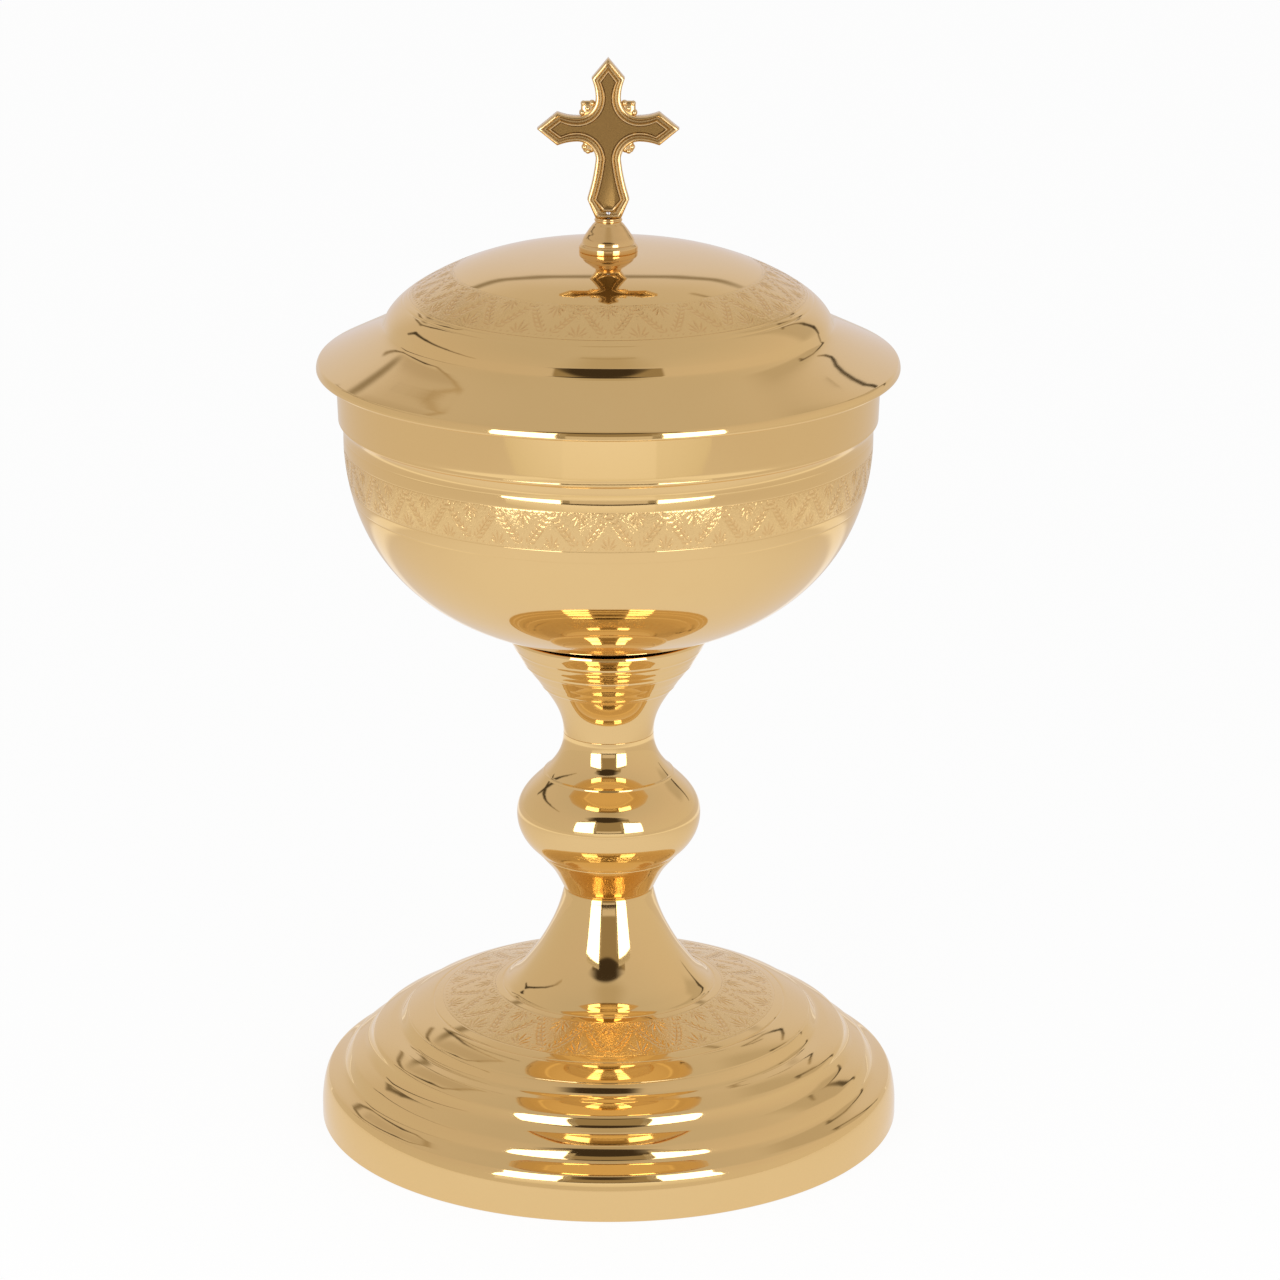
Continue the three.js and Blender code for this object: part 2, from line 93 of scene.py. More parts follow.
def flowing(*knots: tuple[float, float, float]) -> Array:
    """A smooth run through knots of radius, height and direction in degrees.

    Each interval is a cubic curve whose arrows are a third of its chord long.

    Returns:
        Rows of radius and height.
    """
    parts = []
    for (r0, z0, a0), (r1, z1, a1) in zip(knots[:-1], knots[1:]):
        reach = math.hypot(r1 - r0, z1 - z0) / 3
        leave = (reach * math.cos(math.radians(a0)), reach * math.sin(math.radians(a0)))
        arrive = (reach * math.cos(math.radians(a1)), reach * math.sin(math.radians(a1)))
        parts.append(sweep((r0, z0), leave, (r1, z1), arrive, 300))
    return np.vstack(parts)


def lifted(points: Array, height: float) -> Array:
    """The same outline, higher by a height."""
    return points + np.array([0.0, height])


def arc_lengths(points: Array) -> Array:
    """Distance along an outline from its first point to each point."""
    return np.concatenate([[0.0], np.cumsum(np.hypot(*np.diff(points, axis=0).T))])


def evened(points: Array, step: float = GRAIN, closed: bool = False) -> Array:
    """An outline sampled again at even steps.

    Args:
        points: Rows of radius and height.
        step: Distance between samples, in millimetres.
        closed: Whether its last point runs on to its first.

    Returns:
        Rows of radius and height, without the first point repeated where it is closed.
    """
    loop = np.vstack([points, points[:1]]) if closed else points
    loop = loop[np.concatenate([[True], np.hypot(*np.diff(loop, axis=0).T) > 1e-7])]
    along = arc_lengths(loop)
    count = max(int(along[-1] / step), 4)
    where = np.linspace(0.0, along[-1], count + 1)[: count if closed else None]
    return np.column_stack([np.interp(where, along, loop[:, k]) for k in (0, 1)])


def softened(points: Array, radius: float, closed: bool) -> Array:
    """An evenly sampled outline with its corners rounded by a bell-shaped average.

    Args:
        points: Rows of radius and height, GRAIN apart.
        radius: Width of the average, in millimetres.
        closed: Whether it is a loop; one that is not starts and ends on the axis or is left free.

    Returns:
        As many rows as it was given.
    """
    width = radius / GRAIN
    reach = int(3 * width) + 1
    bell = np.exp(-0.5 * (np.arange(-reach, reach + 1) / width) ** 2)
    bell /= bell.sum()
    if closed:
        padded = np.vstack([points[-reach:], points, points[:reach]])
    else:
        flip = np.array([-1.0, 1.0])
        ends = [points[reach:0:-1], points[-2 : -reach - 2 : -1]]
        ends = [
            end * flip if abs(tip[0]) < 1e-9 else 2 * tip - end
            for end, tip in zip(ends, (points[0], points[-1]))
        ]
        padded = np.vstack([ends[0], points, ends[1]])
    return np.column_stack([np.convolve(padded[:, k], bell, "valid") for k in (0, 1)])


def facing(points: Array, closed: bool) -> Array:
    """Direction that the surface faces at each point of an outline run anticlockwise.

    Args:
        points: Rows of radius and height.
        closed: Whether the last runs on to the first.

    Returns:
        Rows of unit length, in radius and height.
    """
    if closed:
        run = np.roll(points, -1, 0) - np.roll(points, 1, 0)
    else:
        run = np.gradient(points, axis=0)
    run = run / np.linalg.norm(run, axis=1, keepdims=True)
    return np.column_stack([run[:, 1], -run[:, 0]])


@dataclass(frozen=True)
class TurnedLine:
    """A line turned into an outline near a point: a groove, or a bead where its rise is above 0."""

    radius: float
    height: float
    width: float = 0.5
    rise: float = -0.1

    def relief(self, points: Array) -> Array:
        """Its rise over an evenly sampled outline: half a cosine wave across its width."""
        gap = np.hypot(points[:, 0] - self.radius, points[:, 1] - self.height)
        along = (np.arange(len(points)) - int(gap.argmin())) * GRAIN
        inside = np.abs(along) < self.width / 2
        return np.where(inside, self.rise * 0.5 * (1 + np.cos(2 * math.pi * along / self.width)), 0)


@dataclass
class Outline:
    """A finished outline: points, the direction the surface faces at each, and whether it loops."""

    points: Array
    normals: Array
    closed: bool


def turned_outline(
    stretches: Iterable[Array],
    lines: Iterable[TurnedLine] = (),
    seats: Iterable[Band] = (),
    soften: float = 0.1,
    turn: float = 5.0,
    reach: float = 3.0,
) -> Outline:
    """Joins stretches into one outline, rounds its corners, cuts its lines and thins it out.

    Args:
        stretches: Runs of radius and height that follow each other round the section.
        lines: Grooves and beads turned into it.
        seats: Belts that are let into it.
        soften: Rounding of every corner, in millimetres.
        turn: Most degrees that the outline turns between two points that are kept.
        reach: Most millimetres between them.

    Returns:
        The outline, run anticlockwise, so that its solid lies on its left.
    """
    corners = np.vstack(list(stretches))
    closed = not (abs(corners[0, 0]) < 1e-9 and abs(corners[-1, 0]) < 1e-9)
    points = evened(corners, GRAIN, closed)
    ahead = np.roll(points, -1, 0)
    if (points[:, 0] * ahead[:, 1] - ahead[:, 0] * points[:, 1]).sum() < 0:
        points = points[::-1]
    points = softened(points, soften, closed)
    normals = facing(points, closed)
    for line in lines:
        points = points + normals * line.relief(points)[:, None]
    for belt in seats:
        first, last = nearest(points, belt.start, belt.end)
        points[first + 1 : last] -= normals[first + 1 : last] * belt.seat
    normals = facing(points, closed)
    angle = np.unwrap(np.arctan2(normals[:, 1], normals[:, 0]))
    cost = np.abs(np.diff(angle, prepend=angle[0])) / math.radians(turn)
    cost += np.hypot(*np.diff(points, axis=0, prepend=points[:1]).T) / reach
    total = np.cumsum(cost)
    kept = np.searchsorted(total, np.arange(0.0, total[-1]))
    if not closed:
        kept = np.append(kept, len(points) - 1)
    kept = np.unique(kept)
    return Outline(points[kept], normals[kept], closed)


def nearest(points: Array, start: Pair, end: Pair) -> tuple[int, int]:
    """Places in an outline of the points nearest to two others, the lower place first."""
    found = [int(np.hypot(points[:, 0] - r, points[:, 1] - z).argmin()) for r, z in (start, end)]
    return min(found), max(found)


def between(points: Array, start: Pair, end: Pair) -> Array:
    """The stretch of an evenly sampled outline from near one point to near another."""
    first, last = nearest(points, start, end)
    return points[first : last + 1]


def sheet_inside(outer: Array, wall: float, smooth: float = 1.2) -> Array:
    """The inner face of a spun sheet: its outer face, smoothed and moved in by the wall.

    Args:
        outer: The outer face, as rows of radius and height.
        wall: Thickness of the sheet.
        smooth: Width of the smoothing.

    Returns:
        Rows of radius and height, 0.4 mm apart.
    """
    face = softened(evened(outer), smooth, closed=False)
    normals = facing(face, closed=False)
    side = np.sign(face[0, 1] - face[-1, 1])
    return (face + normals * wall * side)[:: int(0.4 / GRAIN)]


# Meshes


@dataclass
class Skin:
    """A surface as arrays: points in millimetres, the way each faces, and faces by corner count."""

    points: Array
    normals: Array | None
    faces: list[Indices]
    marks: Array | None = None

    def joined(self, other: Skin) -> Skin:
        """This surface and another as one, for two that have no directions of their own."""
        shift = len(self.points)
        faces = self.faces + [f + shift for f in other.faces]
        return Skin(np.vstack([self.points, other.points]), None, faces)

    def mesh(self, name: str) -> bpy.types.Mesh:
        """Puts the surface into a Blender mesh, smooth, facing as its normals say.

        Args:
            name: The mesh's name.

        Returns:
            The mesh in metres, with its marks as the attribute "cut".
        """
        mesh = bpy.data.meshes.new(name)
        sizes = np.concatenate([np.full(len(f), f.shape[1]) for f in self.faces])
        corners = np.concatenate([f.ravel() for f in self.faces])
        mesh.vertices.add(len(self.points))
        mesh.vertices.foreach_set("co", (self.points * MM).ravel())
        mesh.loops.add(len(corners))
        mesh.loops.foreach_set("vertex_index", corners.astype(np.int32))
        mesh.polygons.add(len(sizes))
        starts = np.concatenate([[0], np.cumsum(sizes)[:-1]]).astype(np.int32)
        mesh.polygons.foreach_set("loop_start", starts)
        mesh.polygons.foreach_set("use_smooth", np.ones(len(sizes), bool))
        mesh.update(calc_edges=True)
        if self.normals is None:
            mesh.set_sharp_from_angle(angle=math.radians(38))
        else:
            mesh.normals_split_custom_set_from_vertices(self.normals)
        if self.marks is not None:
            cut = mesh.attributes.new("cut", "FLOAT", "POINT")
            cut.data.foreach_set("value", self.marks.astype(np.float32))
        return mesh


def grid_faces(rows: int, columns: int, loop: bool) -> Indices:
    """Four-cornered faces of a grid that closes on itself along its columns.

    Args:
        rows: Number of rows of points.
        columns: Points in each row, the last of which runs on to the first.
        loop: Whether the last row runs on to the first as well.

    Returns:
        Faces that look outwards when rows run anticlockwise and columns follow the angle.
    """
    i = np.arange(rows if loop else rows - 1)[:, None]
    j = np.arange(columns)[None, :]
    above, beside = (i + 1) % rows, (j + 1) % columns
    corners = [i * columns + j, i * columns + beside, above * columns + beside, above * columns + j]
    return np.stack(np.broadcast_arrays(*corners), -1).reshape(-1, 4)


def lathe(outline: Outline, columns: int) -> Skin:
    """The outline turned about Z: (r cos a, r sin a, z) for even angles a.

    Args:
        outline: What is turned; one that starts and ends on the axis gets a pole at each end.
        columns: Number of angles.

    Returns:
        The surface, with the outline's own directions.
    """
    angle = np.arange(columns) * 2 * math.pi / columns
    points, normals = outline.points, outline.normals
    if not outline.closed:
        points, normals = points[1:-1], normals[1:-1]

    def spun(rows: Array) -> Array:
        """Rows of radius and height at each angle, as rows of x, y and z."""
        grid = np.empty((len(rows), columns, 3))
        grid[..., 0] = rows[:, :1] * np.cos(angle)
        grid[..., 1] = rows[:, :1] * np.sin(angle)
        grid[..., 2] = rows[:, 1:]
        return grid.reshape(-1, 3)

    skin = Skin(spun(points), spun(normals), [grid_faces(len(points), columns, outline.closed)])
    if outline.closed:
        return skin
    poles = np.array([[0, 0, outline.points[0, 1]], [0, 0, outline.points[-1, 1]]])
    ways = np.array([[0, 0, -1.0], [0, 0, 1.0]])
    count, ring = len(skin.points), np.arange(columns)
    beside = (ring + 1) % columns
    last = count - columns
    fans = [
        np.column_stack([np.full(columns, count), beside, ring]),
        np.column_stack([last + ring, last + beside, np.full(columns, count + 1)]),
    ]
    skin = Skin(np.vstack([skin.points, poles]), np.vstack([skin.normals, ways]), skin.faces)
    skin.faces.append(np.vstack(fans))
    return skin


def ring_surface(radii: Array, heights: Array) -> Skin:
    """A closed ring whose section may change round it: rows of (r cos a, r sin a, z).

    Args:
        radii: Radius of each row at each angle; its rows run anticlockwise round the section.
        heights: Height of each row at each angle.

    Returns:
        The surface, with no directions of its own.
    """
    rows, columns = radii.shape
    angle = np.arange(columns) * 2 * math.pi / columns
    points = np.stack([radii * np.cos(angle), radii * np.sin(angle), heights], -1)
    return Skin(points.reshape(-1, 3), None, [grid_faces(rows, columns, True)])


def rounded_loop(corners: Sequence[Pair], radius: float) -> Outline:
    """A closed section with straight sides and corners of about a radius."""
    return turned_outline([straight(*corners)], soften=radius, turn=9.0, reach=30.0)


@dataclass(frozen=True)
class Stroke:
    """One cut of a graver: a leaf-shaped groove from one point of a repeat to another."""

    x0: float
    y0: float
    x1: float
    y1: float
    width: float
    depth: float
    belly: float = 0.5


def engraved(strokes: Sequence[Stroke], across: Array, up: Array, repeat: float) -> Array:
    """Depth that a set of strokes cuts into a repeat, over a grid.

    A cut's half-width is w (1 - s^2), where s runs from -1 at one end to 1 at the other through
    0 at its belly, and its depth falls straight from its middle line to its sides, as a graver's
    does. Where cuts cross, the deeper one counts.

    Args:
        strokes: The cuts of one repeat, in millimetres.
        across: Places along the band.
        up: Places up the band.
        repeat: Length of a repeat; a cut that leaves one end comes back in at the other.

    Returns:
        Depths, one row for each place up the band.
    """
    cuts = np.array([[s.x0, s.y0, s.x1, s.y1, s.width, s.depth, s.belly] for s in strokes])
    x0, y0, x1, y1, width, depth, belly = (column[:, None, None, None] for column in cuts.T)
    shift = np.array([-repeat, 0.0, repeat])[None, :, None, None]
    px = across[None, None, None, :] + shift - x0
    py = up[None, None, :, None] - y0
    run_x, run_y = x1 - x0, y1 - y0
    length = np.hypot(run_x, run_y)
    along = (px * run_x + py * run_y) / length**2
    aside = np.abs(px * run_y - py * run_x) / length
    s = np.where(along < belly, (along - belly) / belly, (along - belly) / (1 - belly))
    taper = np.clip(1 - s**2, 0, None)
    cut = depth * taper * np.clip(1 - aside / (width * taper + 1e-9), 0, None)
    return cut.max(axis=(0, 1))


# Shader nodes


@dataclass(frozen=True)
class Value:
    """A socket of a graph, which takes part in sums as a number does."""

    graph: Graph
    socket: bpy.types.NodeSocket

    def _sum(self, operation: str, first: Operand, second: Operand) -> Value:
        """A Math node on two operands."""
        return self.graph.node("ShaderNodeMath", {"operation": operation}, {0: first, 1: second})

    def __add__(self, other: Operand) -> Value:
        """This plus another."""
        return self._sum("ADD", self, other)

    def __sub__(self, other: Operand) -> Value:
        """This less another."""
        return self._sum("SUBTRACT", self, other)

    def __rsub__(self, other: Operand) -> Value:
        """Another less this."""
        return self._sum("SUBTRACT", other, self)

    def __mul__(self, other: Operand) -> Value:
        """This times another."""
        return self._sum("MULTIPLY", self, other)

    def __truediv__(self, other: Operand) -> Value:
        """This over another."""
        return self._sum("DIVIDE", self, other)

    def __rtruediv__(self, other: Operand) -> Value:
        """Another over this."""
        return self._sum("DIVIDE", other, self)

    def __pow__(self, other: Operand) -> Value:
        """This to a power."""
        return self._sum("POWER", self, other)

    def most(self, other: Operand) -> Value:
        """The larger of this and another."""
        return self._sum("MAXIMUM", self, other)

    def turn(self, other: Operand) -> Value:
        """The angle whose tangent is this over another, in radians."""
        return self._sum("ARCTAN2", self, other)

    def folded(self) -> Value:
        """1 where this lies in an odd unit and -1 where it lies in an even one."""
        return self._sum("SIGN", self._sum("SINE", self * math.pi, 0.0), 0.0)

    def __abs__(self) -> Value:
        """This without its sign."""
        return self._sum("ABSOLUTE", self, 0.0)

    __radd__ = __add__
    __rmul__ = __mul__


Operand = Value | float | tuple[float, ...] | str


@dataclass(frozen=True)
class Graph:
    """The nodes of one material or of the world."""

    tree: bpy.types.NodeTree

    def node(
        self,
        kind: str,
        settings: dict[str, object] | None = None,
        inputs: dict[str | int, Operand] | None = None,
        output: str | int = 0,
    ) -> Value:
        """Adds a node.

        Args:
            kind: Its type.
            settings: Its own properties, and "stops" for a ramp's pairs of place and colour.
            inputs: Values or links of its sockets.
            output: The socket that is handed back.

        Returns:
            That socket.
        """
        made = self.tree.nodes.new(kind)
        settings = dict(settings or {})
        stops = settings.pop("stops", None)
        for name, value in settings.items():
            setattr(made, name, value)
        if stops:
            elements = made.color_ramp.elements
            elements[0].position, elements[-1].position = stops[0][0], stops[-1][0]
            for place, _ in stops[1:-1]:
                elements.new(place)
            for element, (_, shade) in zip(elements, stops):
                element.color = (*shade, 1.0)
        for name, value in (inputs or {}).items():
            if isinstance(value, Value):
                self.tree.links.new(value.socket, made.inputs[name])
            else:
                made.inputs[name].default_value = value
        return Value(self, (made.outputs or made.inputs)[output])

    def blend(self, share: Operand, first: Operand, second: Operand) -> Value:
        """A colour between two, by a share."""
        return self.node(
            "ShaderNodeMix", {"data_type": "RGBA"}, {0: share, 6: first, 7: second}, output=2
        )

    def scaled(self, place: Value, factors: tuple[float, float, float]) -> Value:
        """A vector stretched along its three axes."""
        return self.node("ShaderNodeVectorMath", {"operation": "MULTIPLY"}, {0: place, 1: factors})

    def noise(
        self, place: Operand, detail: float = 2.0, rough: float = 0.5, w: Operand = 0.0
    ) -> Value:
        """Noise from 0 to 1 at a place, which is given in noise cells."""
        return self.node(
            "ShaderNodeTexNoise",
            {"noise_dimensions": "4D"},
            {"Vector": place, "W": w, "Scale": 1.0, "Detail": detail, "Roughness": rough},
        )

    def fade(self, distance: Value, edge: float, soft: float) -> Value:
        """1 well inside an edge and 0 well outside it, smooth over a softness between."""
        return self.node(
            "ShaderNodeMapRange",
            {"interpolation_type": "SMOOTHSTEP"},
            {0: distance, 1: edge - soft / 2, 2: edge + soft / 2, 3: 1.0, 4: 0.0},
        )

    def here(self) -> Value:
        """Place on the object, in metres."""
        return self.node("ShaderNodeTexCoord", output="Object")

    def axes(self) -> tuple[Value, Value, Value]:
        """The three numbers of the place on the object."""
        parts = self.node("ShaderNodeSeparateXYZ", {}, {0: self.here()}).socket.node.outputs
        return Value(self, parts[0]), Value(self, parts[1]), Value(self, parts[2])

    def polar(self) -> tuple[Value, Value, Value, Value]:
        """Radius, height, cosine and sine of the place's angle about the object's axis."""
        x, y, z = self.axes()
        radius = (x * x + y * y + 1e-9) ** 0.5
        return radius, z, x / radius, y / radius

    def vector(self, x: Operand, y: Operand, z: Operand) -> Value:
        """Three numbers as a vector."""
        return self.node("ShaderNodeCombineXYZ", {}, {0: x, 1: y, 2: z})

    def shade(self, name: str) -> Value:
        """A number kept on the mesh, as an attribute."""
        return self.node("ShaderNodeAttribute", {"attribute_name": name}, output="Fac")


Colour = tuple[float, float, float, float]
Shade = tuple[float, float, float]


def linear(red: int, green: int, blue: int) -> Colour:
    """A colour written as screen values from 0 to 255, as the renderer's light values."""
    share = [v / 255 for v in (red, green, blue)]
    return (*(v / 12.92 if v <= 0.04045 else ((v + 0.055) / 1.055) ** 2.4 for v in share), 1.0)


@dataclass(frozen=True)
class Etch:
    """Fine slanting cuts between the deep ones of a belt, which turn over at each half repeat."""

    repeats: int
    radius: float
    slope: float
    long: float = 1.2
    short: float = 0.3
    rise: float = 0.08

    def relief(self, graph: Graph) -> Value:
        """Their height, as noise drawn out along one diagonal or the other."""
        x, y, z = graph.axes()
        turn = x.turn(y * -1.0)
        radius = (x * x + y * y) ** 0.5
        side = (turn * (self.repeats / math.pi)).folded()
        along = turn * self.radius
        up = (z * math.sin(self.slope) - radius * math.cos(self.slope)) * (1 / MM)
        first = along + up * side
        second = along - up * side
        place = graph.vector(first * (1 / self.short), second * (1 / self.long), side * 3.0)
        return graph.noise(place, 1.0, 0.5) * (self.rise * MM)


@dataclass(frozen=True)
class Metal:
    """A metal finish: two tones, how sharp it mirrors, and the marks of its making.

    Fine lines left by the lathe or the buff follow the turning, as noise that hardly changes round
    the axis and quickly across it; a slower noise shifts the tone, and handling clouds the mirror.
    """

    name: str
    tone: Colour
    other_tone: Colour
    roughness: float
    clouding: float
    line_width: float
    line_rise: float
    wave_rise: float = 0.0
    grain_rise: float = 0.0
    grain_size: float = 0.4
    # Colour painted into marked cuts and sunk fields: painted shade, and in the cast field a painted
    # dark reflection.
    painted_cut_shade: Colour | None = None
    cut_roughness: float = 0.0
    etch: Etch | None = None

    def material(self) -> bpy.types.Material:
        """Makes the finish's material."""
        made = bpy.data.materials.new(self.name)
        made.use_nodes = True
        made.node_tree.nodes.clear()
        graph = Graph(made.node_tree)
        radius, height, cosine, sine = graph.polar()
        here = graph.here()
        per = 1 / (self.line_width * MM)
        lines = graph.noise(
            graph.vector(cosine * 1.5, sine * 1.5, radius * per), 3.0, 0.6, height * per
        )
        clouds = graph.noise(graph.scaled(here, (45.0, 45.0, 45.0)), 4.0, 0.6)
        specks = graph.noise(graph.scaled(here, (900.0, 900.0, 900.0)), 2.0, 0.5)
        tone = graph.blend(clouds, self.tone, self.other_tone)
        rough = clouds * self.clouding + lines * (self.clouding * 0.6)
        rough = rough + specks * (self.clouding * 0.3) + (self.roughness - self.clouding * 0.95)
        # Painted shade: the tone moves towards the darker cut colour as the cut mark deepens; the extra
        # roughness is the cuts' own duller finish.
        if self.painted_cut_shade:
            cut = graph.shade("cut")
            tone = graph.blend(cut, tone, self.painted_cut_shade)
            rough = rough + cut * self.cut_roughness
        rise = lines * (self.line_rise * MM)
        if self.wave_rise:
            rise = rise + graph.noise(graph.scaled(here, (28.0, 28.0, 28.0)), 1.0) * (
                self.wave_rise * MM
            )
        if self.grain_rise:
            grains = 1 / (self.grain_size * MM)
            grain = graph.noise(graph.scaled(here, (grains, grains, grains)), 3.0, 0.55)
            rise = rise + grain * (self.grain_rise * MM)
        if self.etch:
            rise = rise + self.etch.relief(graph)
        normal = graph.node("ShaderNodeBump", {}, {"Height": rise, "Distance": 1.0})
        surface = graph.node(
            "ShaderNodeBsdfPrincipled",
            {},
            {"Base Color": tone, "Roughness": rough.most(0.015), "Metallic": 1.0, "Normal": normal},
        )
        graph.node("ShaderNodeOutputMaterial", {}, {"Surface": surface})
        return made


# Engraving


def mirrored(strokes: Sequence[Stroke], about: float) -> list[Stroke]:
    """The same cuts seen in a mirror that stands across the band at a place."""
    return [
        Stroke(2 * about - s.x0, s.y0, 2 * about - s.x1, s.y1, s.width, s.depth, s.belly)
        for s in strokes
    ]


def frond(x0: float, y0: float, x1: float, y1: float, leaves: int, leaf: float) -> list[Stroke]:
    """A rib with pairs of leaves that lean forward from it."""
    run = np.array([x1 - x0, y1 - y0])
    length = float(np.hypot(*run))
    way = run / length
    cuts = [Stroke(x0, y0, x1, y1, 0.3, 0.08, 0.4)]
    for k in range(leaves):
        foot = np.array([x0, y0]) + run * (k + 0.6) / (leaves + 0.4)
        for side, reach in ((-1, leaf), (1, leaf * 0.8)):
            angle = math.radians(42) * side
            lean = np.array(
                [
                    way[0] * math.cos(angle) - way[1] * math.sin(angle),
                    way[0] * math.sin(angle) + way[1] * math.cos(angle),
                ]
            )
            tip = foot + lean * reach * (1 - 0.25 * k / leaves)
            cuts.append(Stroke(*foot, *tip, 0.3, 0.08, 0.45))
    return cuts


def fan(x: float, y: float, way: float, length: float, count: int) -> list[Stroke]:
    """Leaves that spread from a point, upwards where way is 1 and downwards where it is -1."""
    cuts = []
    for angle in np.radians(np.linspace(-52, 52, count)):
        reach = length * (0.72 + 0.28 * math.cos(angle * 2))
        tip = (x + reach * math.sin(angle), y + way * reach * math.cos(angle))
        cuts.append(Stroke(x, y, *tip, 0.32, 0.085, 0.6))
    return cuts


def zigzag(repeat: float, low: float, high: float) -> tuple[Stroke, ...]:
    """Fronds that climb and fall along a belt, with fans of leaves in the corners between them."""
    middle, tall = repeat / 2, high - low
    rising = frond(0.3, low + 0.5, middle - 0.3, high - 0.5, 7, 2.3)
    rising += [Stroke(1.5, low + 0.4, middle, high - 2.0, 0.26, 0.06, 0.5)]
    fans = fan(middle, low + 0.3, 1.0, tall * 0.42, 5) + fan(0.0, high - 0.3, -1.0, tall * 0.42, 5)
    dots = []
    for k in range(8):
        x = (k + 0.5) * repeat / 8
        dots.append(Stroke(x, low + 0.1, x + 0.5, low + 0.9, 0.24, 0.06, 0.5))
        dots.append(Stroke(x, high - 0.1, x - 0.5, high - 0.9, 0.24, 0.06, 0.5))
    return tuple(rising + mirrored(rising, middle) + fans + dots)


CUP_STROKES = zigzag(13.03, 0.2, 9.5)
FOOT_STROKES = zigzag(13.4, 0.5, 12.9)
LID_STROKES = zigzag(12.9, 0.4, 11.4)


# Pieces


class Body(Enum):
    """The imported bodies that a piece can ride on."""

    BASE = "base"
    LID = "lid"


class Slot(Enum):
    """The record's material slots."""

    POLISHED = "polished_gilt"
    CAST = "cast_gilt"
    INNER = "inner_brass"
    ZINC = "zinc_steel"


def piece(
    name: str,
    skin: Skin,
    body: Body,
    finish: bpy.types.Material,
    stands_for: Sequence[str] = (),
) -> bpy.types.Object:
    """Adds a surface to the scene as a piece of the object.

    Args:
        name: The piece's name.
        skin: Its surface.
        body: The body it rides on.
        finish: Its material.
        stands_for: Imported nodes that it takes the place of.

    Returns:
        The new object.
    """
    made = bpy.data.objects.new(name, skin.mesh(name))
    made.data.materials.append(finish)
    bpy.context.scene.collection.objects.link(made)
    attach(made, body.value)
    if stands_for:
        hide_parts(*stands_for)
    LOG.info("%s: %d faces, on %s", name, len(made.data.polygons), body.value)
    return made


@dataclass(frozen=True)
class Band:
    """An engraved belt between two turned lines, let into the face it runs round."""

    start: Pair
    end: Pair
    repeats: int
    columns: int
    rows: int
    strokes: tuple[Stroke, ...]
    line: float = 0.45
    line_depth: float = 0.05
    bite: float = 1.4
    seat: float = 0.26

    def border_lines(self) -> list[TurnedLine]:
        """The two turned lines that bound it."""
        return [TurnedLine(*end, self.line, -self.line_depth) for end in (self.start, self.end)]

    def ring(self, face: Array) -> Skin:
        """The belt as a closed ring: the face's own form with the graver's cuts in it.

        Over a grid of place along the face and angle, the surface lies at the face's outline,
        moved along its normal by minus the depth of the cuts and of the border lines.

        Args:
            face: The face's outline, evenly sampled.

        Returns:
            The ring, with a mark from 0 to 1 on each point for how deep it is cut.
        """
        stretch = between(face, self.start, self.end)
        if stretch[0, 1] > stretch[-1, 1]:
            stretch = stretch[::-1]
        span = arc_lengths(stretch)[-1]
        along = np.linspace(0.0, span, self.rows)
        source = arc_lengths(stretch)
        spine = np.column_stack([np.interp(along, source, stretch[:, k]) for k in (0, 1)])
        square = facing(spine, closed=False)
        middle = float(spine[:, 0].mean())
        repeat = 2 * math.pi * middle / self.repeats
        across = np.arange(self.columns) * repeat / self.columns
        depth = engraved(self.strokes, across, along, repeat) * self.bite
        edge = np.minimum(along, span - along)
        border = self.line_depth * 0.5 * (1 + np.cos(math.pi * np.clip(edge * 2 / self.line, 0, 1)))
        depth = np.tile(np.maximum(depth, border[:, None]), self.repeats)
        count = depth.shape[1]
        angle = np.arange(count) * 2 * math.pi / count
        radii = spine[:, :1] - square[:, :1] * depth
        heights = spine[:, 1:] - square[:, 1:] * depth
        below = spine[[0, -1]] - square[[0, -1]] * (self.seat - 0.02)
        radii = np.vstack([np.full((1, count), below[0, 0]), radii, np.full((1, count), below[1, 0])])
        heights = np.vstack(
            [np.full((1, count), below[0, 1]), heights, np.full((1, count), below[1, 1])]
        )
        slope_up = np.gradient(depth, along, axis=0)
        turn = spine[:, :1] * 4 * math.pi / count
        slope_round = (np.roll(depth, -1, 1) - np.roll(depth, 1, 1)) / turn
        run = np.column_stack([-square[:, 1], square[:, 0]])
        lean_r = square[:, :1] + slope_up * run[:, :1]
        lean_z = square[:, 1:] + slope_up * run[:, 1:]
        normals = np.stack(
            [
                lean_r * np.cos(angle) - slope_round * np.sin(angle),
                lean_r * np.sin(angle) + slope_round * np.cos(angle),
                lean_z,
            ],
            -1,
        )
        normals /= np.linalg.norm(normals, axis=-1, keepdims=True)
        normals = np.concatenate([-normals[:1], normals, -normals[-1:]])
        skin = ring_surface(radii, heights)
        skin.normals = normals.reshape(-1, 3)
        # The engraved finish paints shade into the cuts by these marks.
        marks = np.clip(depth / max(s.depth for s in self.strokes), 0, 1)
        skin.marks = np.vstack([marks[:1] * 0, marks, marks[:1] * 0]).ravel()
        return skin


